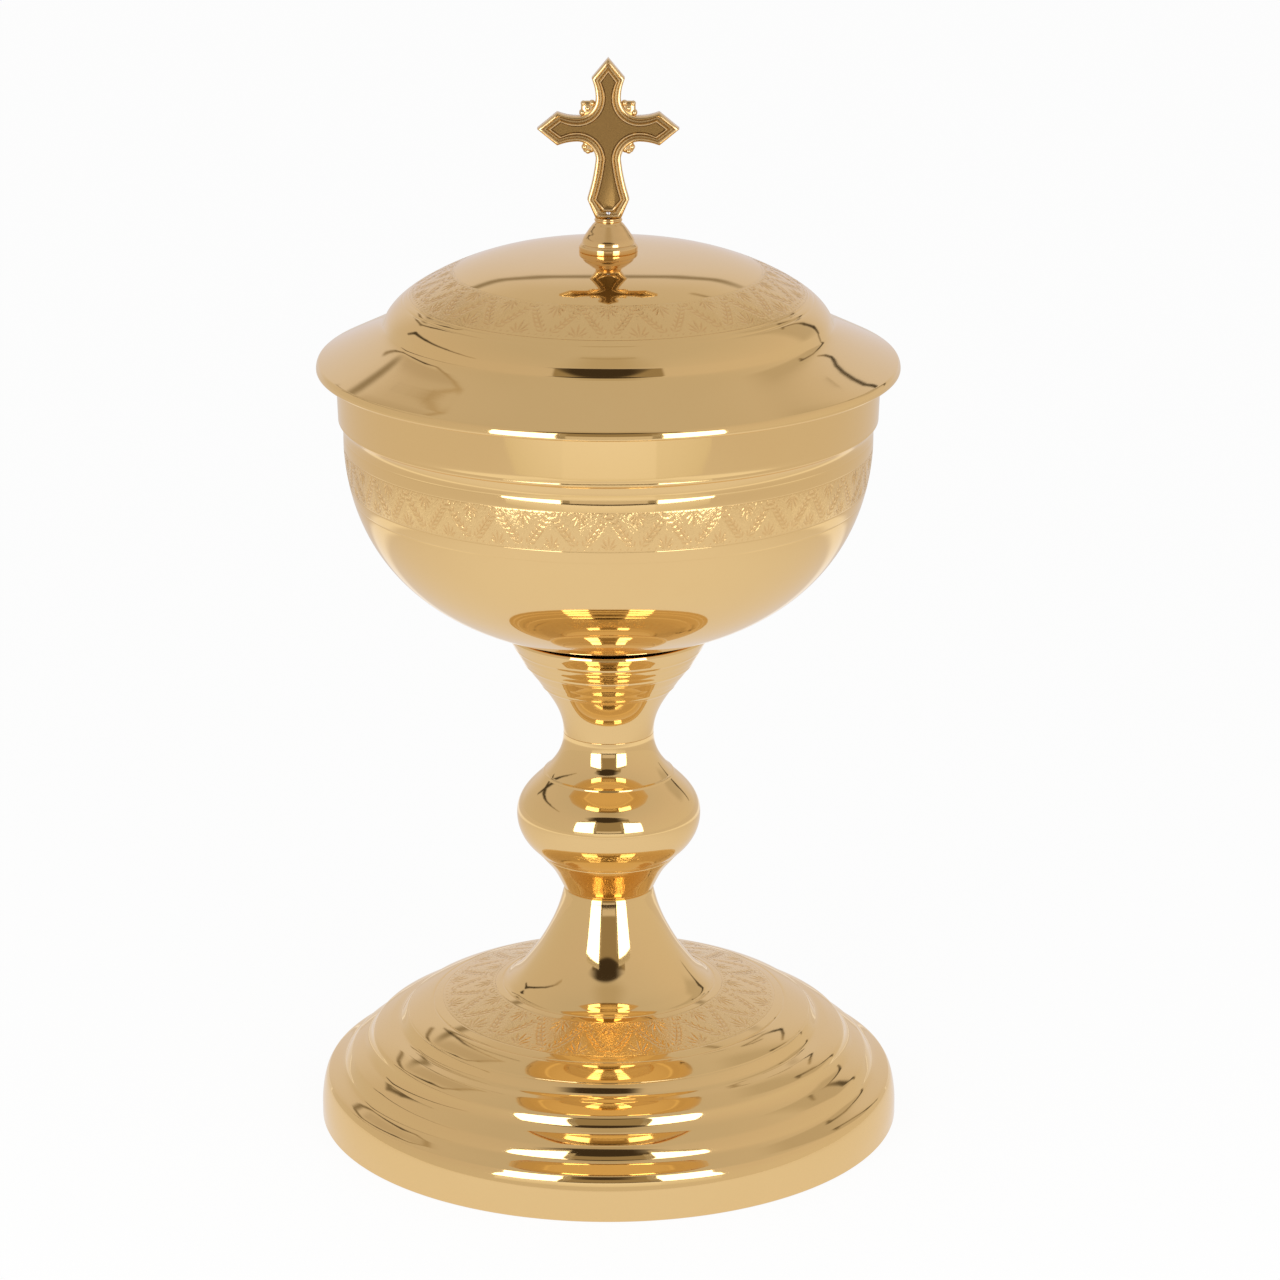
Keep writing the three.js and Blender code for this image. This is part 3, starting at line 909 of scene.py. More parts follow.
def hexagon_nut(across_flats: float, bore: float, thickness: float, base: float) -> Skin:
    """A nut: a hexagon's polar radius, cut back by a 30 degree cone at both faces.

    Args:
        across_flats: Size across its flats.
        bore: Radius of its hole.
        thickness: Size along the axis.
        base: Height of its lower face.

    Returns:
        The nut as a closed ring.
    """
    angle = np.arange(240) * 2 * math.pi / 240
    turn = np.abs((angle % (math.pi / 3)) - math.pi / 6)
    flat = across_flats / 2 / np.cos(turn)
    crown = across_flats / 2 * 0.98
    drop = (flat - crown).clip(0) * math.tan(math.radians(30))
    lead = 0.06 * across_flats
    even = np.ones_like(angle)
    rows = [
        (bore * even, lead * even),
        (bore * even, (thickness - lead) * even),
        ((bore + lead) * even, thickness * even),
        (crown * even, thickness * even),
        (flat, thickness - drop),
        (flat, drop),
        (crown * even, 0 * even),
        ((bore + lead) * even, 0 * even),
    ][::-1]
    radii = np.array([row[0] for row in rows])
    heights = np.array([row[1] for row in rows]) + base
    return ring_surface(radii, heights)


def threaded_bar(radius: float, base: float, top: float, pitch: float, thread: Pair) -> Skin:
    """A bar with a thread over part of its length.

    Its radius is R - d |2 frac(z/p - a/2pi) - 1|, which is a helical ridge of pitch p.

    Args:
        radius: Outer radius.
        base: Height of its lower end.
        top: Height of its upper end.
        pitch: Distance between turns.
        thread: Heights between which it is threaded.

    Returns:
        The bar, closed at both ends.
    """
    columns = 48
    angle = np.arange(columns) * 2 * math.pi / columns
    lead = 0.5 * pitch
    cut = np.arange(thread[0], thread[1], pitch / 8)
    z = np.unique(np.concatenate([[base, base + lead], cut, [top - lead, top]]))
    phase = (z[:, None] / pitch - angle[None, :] / (2 * math.pi)) % 1.0
    depth = 0.6 * pitch * np.abs(2 * phase - 1)
    fade = np.clip((z - thread[0]) / pitch, 0, 1) * np.clip((thread[1] - z) / pitch, 0, 1)
    radii = radius - depth * fade[:, None]
    shoulder = np.minimum(np.clip((z - base) / lead, 0, 1), np.clip((top - z) / lead, 0, 1))
    radii = np.minimum(radii, (radius - lead * (1 - shoulder))[:, None])
    points = np.stack(
        [radii * np.cos(angle), radii * np.sin(angle), np.broadcast_to(z[:, None], radii.shape)], -1
    ).reshape(-1, 3)
    count = len(points)
    poles = np.array([[0, 0, base], [0, 0, top]])
    ring = np.arange(columns)
    beside = (ring + 1) % columns
    last = count - columns
    fans = np.vstack(
        [
            np.column_stack([np.full(columns, count), beside, ring]),
            np.column_stack([last + ring, last + beside, np.full(columns, count + 1)]),
        ]
    )
    return Skin(np.vstack([points, poles]), None, [grid_faces(len(z), columns, False), fans])


def split_ring(inner: float, outer: float, thickness: float, base: float, gap: float) -> Skin:
    """A spring washer, pressed flat: a rounded section carried round between its cut ends.

    Args:
        inner: Radius of its hole.
        outer: Its outer radius.
        thickness: Size along the axis.
        base: Height of its lower face.
        gap: Distance between its ends.

    Returns:
        The washer, closed at both ends.
    """
    section = rounded_loop(
        [(inner, 0), (outer, 0), (outer, thickness), (inner, thickness)], 0.12
    ).points
    half = gap / 2 / outer
    angle = np.linspace(half, 2 * math.pi - half, 97)
    points = np.stack(
        [
            section[:, :1] * np.cos(angle),
            section[:, :1] * np.sin(angle),
            np.broadcast_to(section[:, 1:] + base, (len(section), len(angle))),
        ],
        -1,
    )
    rows, columns = points.shape[:2]
    quads = grid_faces(rows, columns, True).reshape(rows, columns, 4)[:, :-1].reshape(-1, 4)
    first = (np.arange(rows) * columns)[None, :]
    last = (np.arange(rows)[::-1] * columns + columns - 1)[None, :]
    return Skin(points.reshape(-1, 3), None, [quads, first, last])


@dataclass
class Foot:
    """The spun foot with its engraved belt, the ring in its rim and the fittings under its neck."""

    radius: float = 70.0
    height: float = 57.6
    wall: float = 1.2
    neck_radius: float = 10.75
    hole: float = 3.4
    top_thickness: float = 2.0
    band: Band = field(
        default_factory=lambda: Band(
            start=(40.3, 29.0), end=(27.5, 32.6), repeats=16, columns=72, rows=60,
            strokes=FOOT_STROKES,
        )
    )

    def face(self) -> Array:
        """Its outer face, from the neck down to the rim."""
        return np.vstack(
            [
                flowing(
                    (self.neck_radius, self.height - 0.3, -76), (12.2, 52.1, -70.5), (13.9, 48.0, -63.5),
                    (18.7, 40.0, -53), (23.2, 34.95, -38), (25.6, 33.25, -16.2),
                ),
                sweep((25.6, 33.25), (10.5, -3.05), (48.6, 26.1), (6.4, -3.4)),
                flowing(
                    (48.6, 26.1, -28), (49.4, 25.35, -54), (50.35, 24.05, -55.5),
                    (53.5, 22.65, -24), (56.6, 21.15, -30), (57.45, 20.2, -72),
                    (59.85, 17.35, -28), (62.1, 16.0, -32), (62.85, 15.3, -54), (63.5, 14.4, -58),
                    (64.1, 13.4, -66), (65.95, 12.0, -26), (68.35, 10.8, -34),
                ),
                sweep((68.7, 10.2), (0.5, -0.6), (self.radius, 3.0), (0, -3.3)),
                straight((self.radius, 0.35), (self.radius - 0.35, 0.0)),
            ]
        )

    def shell(self) -> Skin:
        """The spun sheet, with the belt's seat and the turned lines in its outer face."""
        face = self.face()
        under = self.height - self.top_thickness
        inner = sheet_inside(face, self.wall)
        inner = inner[(inner[:, 1] < under) & (inner[:, 1] > 0.3)]
        outline = turned_outline(
            [
                straight((self.hole, self.height), (self.neck_radius - 0.4, self.height)),
                face,
                straight((self.radius - self.wall, 0.0)),
                inner[::-1],
                straight((inner[0, 0], under), (self.hole, under)),
            ],
            lines=[
                *self.band.border_lines(),
                TurnedLine(25.8, 33.2, 0.6, -0.12),
                TurnedLine(42.6, 28.4, 0.6, -0.12),
                TurnedLine(48.7, 25.8, 0.5, -0.08),
            ],
            seats=[self.band],
        )
        return lathe(outline, 240)

    def build(self, finishes: Finishes) -> None:
        """Makes the foot's pieces and dresses them."""
        piece(
            "foot_shell_skin", self.shell(), Body.BASE, finishes.mirror, ["foot_shell"]
        )
        belt = self.band.ring(softened(evened(self.face()), 0.1, False))
        piece("foot_belt", belt, Body.BASE, finishes.belt("foot_engraved", self.band))
        ring = rounded_loop([(64.65, 0), (68.65, 0), (68.7, 4.2), (67.6, 3.0), (64.65, 3.0)], 0.35)
        piece(
            "foot_rim_wire", lathe(ring, 192), Body.BASE, finishes.brass,
            ["foot_rim_ring"],
        )
        washer = rounded_loop([(3.4, 53.6), (8.2, 53.6), (8.2, 55.6), (3.4, 55.6)], 0.15)
        piece(
            "pressure_washer", lathe(washer, 64), Body.BASE, finishes.brass,
            ["foot_pressure_washer"],
        )
        piece(
            "spring_washer", split_ring(3.4, 5.9, 1.6, 52.0, 1.0), Body.BASE,
            finishes.zinc, ["foot_spring_washer"],
        )
        piece(
            "stem_nut", hexagon_nut(10.0, 3.12, 5.0, 47.0), Body.BASE, finishes.zinc,
            ["foot_nut"],
        )
        piece(
            "stem_rod", threaded_bar(3.0, 44.0, 119.5, 1.0, (44.0, 56.0)), Body.BASE,
            finishes.zinc, ["tie_rod"],
        )


@dataclass
class Stem:
    """The knop and the calyx, both turned and bored for the rod."""

    knop_base: float = 57.6
    knop_height: float = 39.4
    calyx_height: float = 25.5
    neck_radius: float = 10.8
    joint: float = 0.06
    bore: float = 3.4

    def knop(self) -> Skin:
        """A flared collar, a round bulb with a fine ring, and a neck."""
        side = np.vstack(
            [
                sweep((10.95, 0.4), (2.8, 6.1), (17.1, 9.6), (2.7, 3.7)),
                sweep((17.1, 9.6), (0.2, 0.2), (22.05, 18.9), (0, 6)),
                sweep(
                    (22.05, 18.9), (0, 8.8),
                    (self.neck_radius, self.knop_height - self.joint), (0, 10.6),
                ),
            ]
        )
        outline = turned_outline(
            [
                lifted(part, self.knop_base)
                for part in (
                    straight((self.bore, 0.0), (10.55, 0.0)),
                    side,
                    straight(
                        (self.neck_radius - self.joint, self.knop_height),
                        (self.bore, self.knop_height),
                    ),
                )
            ],
            lines=[
                TurnedLine(15.9, 87.3, 1.1, 0.15),
                TurnedLine(17.15, 67.2, 1.0, 0.13),
                TurnedLine(16.6, 66.5, 0.4, -0.12),
            ],
            soften=0.05,
            turn=4.0,
        )
        return lathe(outline, 224)

    def calyx(self) -> Skin:
        """A trumpet with three rings, hollow above for the boss under the cup."""
        base = self.knop_base + self.knop_height
        side = sweep((self.neck_radius, self.joint), (0, 8.4), (22.0, 21.0), (3.3, 7.1))
        top = self.calyx_height
        outline = turned_outline(
            [
                lifted(part, base)
                for part in (
                    straight((self.bore, 0.0), (self.neck_radius - self.joint, 0.0)),
                    side,
                    straight((24.3, top - 0.7), (24.1, top - 0.15), (23.6, top), (22.6, top)),
                    straight((9.3, top), (9.3, 13.2), (self.bore, 13.2)),
                )
            ],
            lines=[
                TurnedLine(16.0, 109.0, 1.6, 0.13),
                TurnedLine(17.5, 111.2, 2.2, -0.05),
                TurnedLine(19.9, 114.4, 1.6, 0.13),
                TurnedLine(21.0, 116.3, 1.8, -0.05),
                TurnedLine(22.3, 118.6, 1.3, 0.1),
            ],
            soften=0.05,
            turn=4.0,
        )
        return lathe(outline, 224)

    def build(self, finishes: Finishes) -> None:
        """Makes the stem's pieces and dresses them."""
        piece("knop_skin", self.knop(), Body.BASE, finishes.mirror, ["knop"])
        piece("calyx_skin", self.calyx(), Body.BASE, finishes.mirror, ["calyx"])


@dataclass
class Cup:
    """The spun bowl with its engraved belt and its lip band."""

    seat: float = 122.5
    height: float = 66.6
    wall: float = 1.2
    bowl_radius: float = 62.2
    bowl_height: float = 46.5
    lip_radius: float = 63.6
    inner_radius: float = 61.0
    band: Band = field(
        default_factory=lambda: Band(
            start=(62.2, 158.9), end=(62.2, 168.6), repeats=30, columns=64, rows=44,
            strokes=CUP_STROKES,
        )
    )

    def face(self) -> Array:
        """Its outer face, from its seat on the calyx up to the lip band's foot."""
        base = self.seat
        return np.vstack(
            [
                lifted(
                    sweep((21.5, 0), (24.3, 6.0), (self.bowl_radius, self.bowl_height), (1, 24.7)), base
                ),
                straight((self.bowl_radius, base + 49.6)),
            ]
        )

    def build(self, finishes: Finishes) -> None:
        """Makes the cup's pieces and dresses them."""
        face = self.face()
        lip, inside, rim = self.lip_radius, self.inner_radius, self.seat + self.height
        inner = sheet_inside(face, self.wall)
        inner = inner[(inner[:, 0] < inside) & (inner[:, 1] > self.seat + self.wall)]
        outline = turned_outline(
            [
                straight((0.0, self.seat)),
                face,
                flowing(
                    (self.bowl_radius, 172.1, 90), (lip - 0.7, 174.6, 48), (lip - 0.25, 175.15, 85)
                ),
                straight((lip + 0.2, rim - 0.9)),
                flowing((lip + 0.2, rim - 0.9, 90), (lip - 0.6, rim, 165)),
                straight((inside + 0.3, rim), (inside, rim - 0.3), (inside, 169.0)),
                inner[::-1],
                straight((0.0, self.seat + self.wall)),
            ],
            lines=[
                *self.band.border_lines(),
                TurnedLine(63.4, 175.75, 1.0, -0.03),
                TurnedLine(62.2, 171.4, 0.5, -0.03),
                TurnedLine(62.0, 155.9, 0.5, -0.04),
            ],
            seats=[self.band],
        )
        piece(
            "cup_bowl_skin", lathe(outline, 288), Body.BASE, finishes.mirror,
            ["cup_bowl"],
        )
        belt = self.band.ring(softened(evened(face), 0.1, False))
        piece("cup_belt", belt, Body.BASE, finishes.belt("cup_engraved", self.band))


@dataclass
class Lid:
    """The spun lid with its engraved belt and rolled edge, and the ring that centres it."""

    base: float = 186.51
    crown: float = 27.95
    wall: float = 1.2
    brim_radius: float = 68.3
    shoulder: Pair = (51.85, 12.45)
    shoulder_foot: Pair = (52.65, 10.7)
    roll: float = 1.0
    roll_rise: float = 1.9
    roll_drop: float = 0.65
    roll_start: float = 72.0
    roll_turn: float = 190.0
    roll_points: int = 96
    hole: float = 1.5
    band: Band = field(
        default_factory=lambda: Band(
            start=(46.3, 204.3), end=(35.7, 209.6), repeats=20, columns=64, rows=56,
            strokes=LID_STROKES, line_depth=0.012,
        )
    )

    def face(self) -> Array:
        """Its outer face, from the flat under the knob out to the roll."""
        centre = self.brim_radius - self.roll
        angle = np.radians(self.roll_start - np.linspace(0, self.roll_turn, self.roll_points))
        tall = np.where(angle > 0, self.roll_rise, self.roll_drop)
        roll = np.column_stack(
            [centre + self.roll * np.cos(angle), self.roll_drop + tall * np.sin(angle)]
        )
        brim = (float(roll[0, 0]), float(roll[0, 1]))
        parts = [
            flowing(
                (7.4, self.crown, -1.0), (13.0, self.crown - 0.235, -3.8),
                (19.5, self.crown - 0.845, -7.0), (24.0, 26.48, -9.8),
                (31.0, 24.9, -17.0), (38.4, 22.12, -24.6), (46.3, 17.8, -33.5),
                (*self.shoulder, -59.0),
            ),
            straight(self.shoulder, self.shoulder_foot),
            sweep(self.shoulder_foot, (1.0, -1.75), brim, (7, -3.5)),
            roll[1:],
        ]
        return lifted(np.vstack(parts), self.base)

    def build(self, finishes: Finishes) -> None:
        """Makes the lid's pieces and dresses them."""
        face = self.face()
        sheet = face[: 1 - self.roll_points]
        inner = sheet_inside(sheet, self.wall, 0.8)
        inner = inner[inner[:, 0] < self.brim_radius - 2 * self.roll - self.wall]
        top = self.base + self.crown
        outline = turned_outline(
            [
                straight((self.hole, top)),
                face,
                inner[::-1],
                straight((self.hole, top - self.wall)),
            ],
            lines=[
                *self.band.border_lines(),
                TurnedLine(46.85, 204.0, 0.8, -0.05),
                TurnedLine(48.0, 203.1, 0.9, -0.06),
            ],
            seats=[self.band],
        )
        piece(
            "lid_shell_skin", lathe(outline, 288), Body.LID, finishes.mirror,
            ["lid_shell"],
        )
        belt = self.band.ring(softened(evened(sheet), 0.1, False))
        piece("lid_belt", belt, Body.LID, finishes.belt("lid_engraved", self.band))
        ring = rounded_loop(
            [(59.5, 182.1), (60.0, 182.1), (60.5, 183.1), (60.5, 190.91), (59.5, 190.91)], 0.12
        )
        piece(
            "lid_centring_ring", lathe(ring, 192), Body.LID, finishes.mirror,
            ["lid_plug_ring"],
        )


@dataclass
class Finial:
    """The knob, the cast cross and the stud, washer and nut that hold them to the lid."""

    base: float = 215.01
    knob_height: float = 7.3
    arm: float = 16.4
    foot_length: float = 20.9
    thickness: float = 3.6

    def knob(self) -> Skin:
        """A low button with a stepped foot and a short neck."""
        outline = turned_outline(
            [
                lifted(part, self.base)
                for part in (
                    straight((1.5, -0.62), (6.65, -0.62), (6.85, -0.44), (6.85, 0.6)),
                    flowing((6.85, 0.6, 95), (6.4, 1.3, 130)),
                    flowing((6.15, 1.35, 80), (6.1, 1.9, 100), (4.9, 3.9, 121), (3.75, 5.5, 124)),
                    flowing((3.75, 5.5, 124), (3.0, 6.4, 108)),
                    straight((3.25, 6.6), (3.25, 6.9), (3.0, 7.05), (3.0, 7.3), (1.5, 7.3)),
                )
            ],
            soften=0.08,
            turn=4.0,
            reach=0.8,
        )
        return lathe(outline, 128)

    def outline(self, inset: float) -> Array:
        """The cross's outline drawn in by an inset, with the same points for each inset.

        The arms end in a point between two corners, a quarter circle joins one arm to the next
        and the foot flares and narrows again.

        Args:
            inset: Distance from its edge, in millimetres.

        Returns:
            Rows of x and z from the middle of the crossing, anticlockwise.
        """
        half, neck, reach = 3.8 - inset, 2.88, 7.2
        corner = self.arm - 4.6 - inset * 0.4
        tip = [(corner, -half), (self.arm - 1.5 * inset, 0.0), (corner, half)]
        tip = subdivided(np.array(tip), 6)
        flare = np.linspace(0.0, 1.0, 8)[:, None]
        near = np.array([reach, neck - inset])
        waist = near + (np.array([corner, half]) - near) * flare
        waist[:, 1] -= 0.22 * np.sin(math.pi * flare[:, 0])
        bow = reach - neck + inset
        sweep_angle = np.radians(-90 - np.linspace(0, 90, 14))
        crotch = reach + bow * np.column_stack([np.cos(sweep_angle), np.sin(sweep_angle)])
        quarter = np.vstack([tip[:-1], waist[::-1][:-1], crotch[:-1], waist[:, ::-1][:-1]])
        low = np.array([neck - inset, -reach])
        wide = np.array([4.85 - inset, -16.5])
        heel = np.array([2.95 - inset, inset - self.foot_length])
        side = low + (wide - low) * flare
        side[:, 0] -= 0.25 * np.sin(math.pi * flare[:, 0])
        side = np.vstack([side, subdivided(np.array([wide, heel]), 4)[1:]])
        foot_right = side[::-1]
        foot_left = side * np.array([-1.0, 1.0])

        def turned(points: Array, quarters: int) -> Array:
            """Points turned about the middle by quarter turns, exactly."""
            cosine, sine = [(1, 0), (0, 1), (-1, 0), (0, -1)][quarters % 4]
            return points @ np.array([[cosine, sine], [-sine, cosine]])

        upper = [turned(quarter, k) for k in range(2)]
        left = np.vstack([turned(tip, 2)[:-1], turned(waist[::-1], 2)[:-1], turned(crotch, 2)])
        right = np.vstack(
            [turned(crotch, 3), (waist * np.array([1.0, -1.0]))[1:]]
        )
        return np.vstack([*upper, left[:-1], foot_left, foot_right[:-1], right[:-1]])

    def cross(self) -> Skin:
        """The casting: its section carried along its outline, then a flat field on each face.

        The section climbs the edge, crosses a light rim, dips into a channel, rises over a bead
        and drops to the field.
        """
        half = self.thickness / 2
        section = [
            (0.0, 0.0), (0.0, half - 0.6), (0.1, half - 0.4), (0.3, half - 0.24),
            (0.55, half - 0.2), (0.72, half - 0.3), (0.95, half - 0.6), (1.35, half - 0.66),
            (1.6, half - 0.45), (1.72, half - 0.14), (1.86, half), (2.0, half), (2.12, half - 0.12),
            (2.2, half - 0.4), (2.3, half - 0.5),
        ]
        front = [(inset, -y) for inset, y in section[1:]]
        back = [(inset, y) for inset, y in section[:0:-1]]
        rows = back + [(0.0, 0.0)] + front
        middle = self.base + self.knob_height + self.foot_length
        rings = [self.outline(inset) for inset, _ in rows]
        columns = len(rings[0])
        points = np.stack(
            [
                np.column_stack([ring[:, 0], np.full(columns, y), ring[:, 1] + middle])
                for ring, (_, y) in zip(rings, rows)
            ]
        )
        faces = grid_faces(len(rows), columns, False)
        cap_back = np.arange(columns)[::-1][None, :]
        cap_front = (len(rows) - 1) * columns + np.arange(columns)[None, :]
        skin = Skin(points.reshape(-1, 3), None, [faces, cap_back, cap_front])
        # These marks set where the cast finish paints its dark reflection and shade: the sunk field and
        # the channel.
        sunk = np.array([np.clip((inset - 2.08) / 0.14, 0, 1) for inset, _ in rows])
        channel = np.array([math.exp(-(((inset - 1.15) / 0.42) ** 2)) for inset, _ in rows])
        skin.marks = np.repeat(np.maximum(sunk, channel), columns)
        return skin

    def build(self, finishes: Finishes) -> None:
        """Makes the finial's pieces and dresses them."""
        piece("knob_skin", self.knob(), Body.LID, finishes.turned, ["knob"])
        piece("cross_casting", self.cross(), Body.LID, finishes.cast, ["finial_cross"])
        leaves = None
        middle = self.base + self.knob_height + self.foot_length
        for side in (-1, 1):
            for x, z, size, depth, square in (
                (4.45, 4.6, 1.85, 0.7, 5.0), (5.75, 5.85, 0.62, 0.95, 2.0),
                (6.0, 3.75, 0.72, 1.0, 2.4), (3.75, 5.95, 0.68, 1.0, 2.4),
                (4.75, 4.75, 0.75, 1.0, 2.0), (4.5, -4.3, 1.45, 0.7, 3.0),
                (5.45, -4.3, 0.75, 0.95, 2.0), (4.7, -5.25, 0.7, 0.95, 2.0),
            ):
                leaf = boss(side * x, middle + z, size, depth, square)
                leaves = leaf if leaves is None else leaves.joined(leaf)
        piece("cross_leaves", leaves, Body.LID, finishes.cast)
        piece(
            "finial_rod", threaded_bar(1.25, 209.31, 226.19, 0.45, (209.31, 213.5)), Body.LID,
            finishes.zinc, ["finial_stud"],
        )
        washer = rounded_loop([(1.5, 212.81), (5.0, 212.81), (5.0, 213.81), (1.5, 213.81)], 0.12)
        piece(
            "finial_collar", lathe(washer, 64), Body.LID, finishes.brass,
            ["finial_washer"],
        )
        piece(
            "finial_hex", hexagon_nut(5.0, 1.37, 2.0, 210.81), Body.LID, finishes.brass,
            ["finial_nut"],
        )


def subdivided(points: Array, pieces: int) -> Array:
    """A polyline with each of its sides cut into equal pieces, its corners kept."""
    t = np.linspace(0.0, 1.0, pieces + 1)[:-1]
    steps = points[:-1, None, :] + (points[1:, None, :] - points[:-1, None, :]) * t[None, :, None]
    return np.vstack([steps.reshape(-1, 2), points[-1:]])


def boss(x: float, z: float, size: float, depth: float, square: float) -> Skin:
    """A lobe on both faces: its plan is |x/a|^n + |z/a|^n = 1, swelling to a depth in its middle.

    Args:
        x: Where its middle lies, to the right.
        z: Where its middle lies, upwards.
        size: Its half-width a.
        depth: How far it stands out to either side.
        square: The power n: 2 for a round plan, more for a squarish one.
    """
    around = np.arange(24) * 2 * math.pi / 24
    polar = np.linspace(0, math.pi, 13)[1:-1]
    ring = np.sin(polar)[:, None]
    plan = (np.abs(np.cos(around)) ** square + np.abs(np.sin(around)) ** square) ** (-1 / square)
    lift = -np.sign(np.cos(polar)) * np.abs(np.cos(polar)) ** 0.8
    points = np.stack(
        [
            x + size * ring * plan * np.cos(around),
            np.broadcast_to(-depth * lift[:, None], (len(polar), 24)),
            z + size * ring * plan * np.sin(around),
        ],
        -1,
    ).reshape(-1, 3)
    count = len(points)
    poles = np.array([[x, depth, z], [x, -depth, z]])
    j = np.arange(24)
    beside = (j + 1) % 24
    fans = np.vstack(
        [
            np.column_stack([np.full(24, count), beside, j]),
            np.column_stack([count - 24 + j, count - 24 + beside, np.full(24, count + 1)]),
        ]
    )
    return Skin(np.vstack([points, poles]), None, [grid_faces(len(polar), 24, False), fans])


@dataclass
class Finishes:
    """The materials of the object."""

    mirror: bpy.types.Material
    engraved: Metal
    turned: bpy.types.Material
    cast: bpy.types.Material
    brass: bpy.types.Material
    zinc: bpy.types.Material

    def belt(self, name: str, band: Band) -> bpy.types.Material:
        """The engraved finish with its fine cuts laid out for a belt."""
        radius = (band.start[0] + band.end[0]) / 2
        slope = math.atan2(abs(band.end[1] - band.start[1]), abs(band.end[0] - band.start[0]))
        return replace(self.engraved, name=name, etch=Etch(band.repeats, radius, slope)).material()


GOLD = linear(239, 209, 149)
WARM_GOLD = linear(237, 204, 143)


def make_finishes() -> Finishes:
    """The six finishes of the object."""
    return Finishes(
        mirror=Metal(
            "polished_gilt", GOLD, WARM_GOLD, 0.05, 0.02, 0.5, 0.0006, wave_rise=0.004
        ).material(),
        engraved=Metal(
            "engraved_gilt", GOLD, WARM_GOLD, 0.09, 0.02, 0.5, 0.0006, wave_rise=0.004,
            # Painted shade in the engraved cuts, darker where a cut is deeper.
            painted_cut_shade=linear(228, 190, 130), cut_roughness=0.05,
        ),
        turned=Metal(
            "turned_gilt", linear(238, 205, 146), linear(226, 190, 132), 0.11, 0.04, 0.5, 0.0006,
            grain_rise=0.004, grain_size=0.4,
        ).material(),
        cast=Metal(
            "cast_gilt", linear(240, 214, 166), linear(226, 196, 144), 0.2, 0.06, 0.6, 0.0,
            # Painted dark reflection and shade in the cross's sunk field and channel; the extra
            # roughness there is the casting's own matte finish.
            grain_rise=0.006, grain_size=0.4, painted_cut_shade=linear(140, 111, 66), cut_roughness=0.18,
        ).material(),
        brass=Metal(
            "inner_brass", linear(205, 172, 112), linear(188, 150, 90), 0.32, 0.1, 0.35, 0.004,
            grain_rise=0.006, grain_size=0.5,
        ).material(),
        zinc=Metal(
            "zinc_steel", linear(196, 199, 204), linear(170, 176, 186), 0.38, 0.12, 0.3, 0.003,
            grain_rise=0.004, grain_size=0.5,
        ).material(),
    )


# Studio


@dataclass(frozen=True)
class Card:
    """An upright panel in front of the object that only mirrors see, in millimetres.

    Its light runs from one shade at its lower edge to another at its upper edge.
    """

    name: str
    left: float
    right: float
    low: float
    high: float
    lower: Shade
    upper: Shade
    front: float = 362.0

    def build(self) -> None:
        """Adds the panel."""
        left, right, y = self.left * MM, self.right * MM, -self.front * MM
        up = (self.low * MM, self.high * MM)
        corners = [(left, y, up[0]), (right, y, up[0]), (right, y, up[1]), (left, y, up[1])]
        card = staged(self.name, corners, [(0, 1, 2, 3)])
        graph = blank_material(card, self.name)
        height = graph.node("ShaderNodeSeparateXYZ", {}, {0: graph.here()}, 2)
        share = (height - up[0]) / (up[1] - up[0])
        light = graph.blend(share, (*self.lower, 1.0), (*self.upper, 1.0))
        glow = graph.node("ShaderNodeEmission", {}, {"Color": light, "Strength": 1.0})
        graph.node("ShaderNodeOutputMaterial", {}, {"Surface": glow})
        mirrored_only(card)


@dataclass(frozen=True)
class Patch:
    """A part of the tent with another tone, by direction in degrees.

    Azimuth 0 lies towards the camera and 90 to the right. A point's offsets from the middle, turned
    by the lean, are measured against the half-width and the half-height, and the tone fades over
    the softness at their edges. With a taper t the height shrinks to 1 - t of itself at the sides.
    """

    azimuth: float
    elevation: float
    half_width: float
    half_height: float
    shade: Shade
    soft: float = 3.0
    side_soft: float | None = None
    lean: float = 0.0
    share: float = 1.0
    taper: float = 0.0

    def paint(self, graph: Graph, azimuth: Value, elevation: Value, below: Value) -> Value:
        """Lays the patch over a colour."""
        cosine, sine = math.cos(math.radians(self.lean)), math.sin(math.radians(self.lean))
        du, dv = azimuth - self.azimuth, elevation - self.elevation
        aside = abs(du * cosine + dv * sine)
        along = abs(dv * cosine - du * sine)
        if self.taper:
            along = along + aside * aside * (self.taper * self.half_height / self.half_width**2)
        inside = graph.fade(aside, self.half_width, self.side_soft or self.soft) * graph.fade(
            along, self.half_height, self.soft
        )
        return graph.blend(inside * self.share, below, (*self.shade, 1.0))


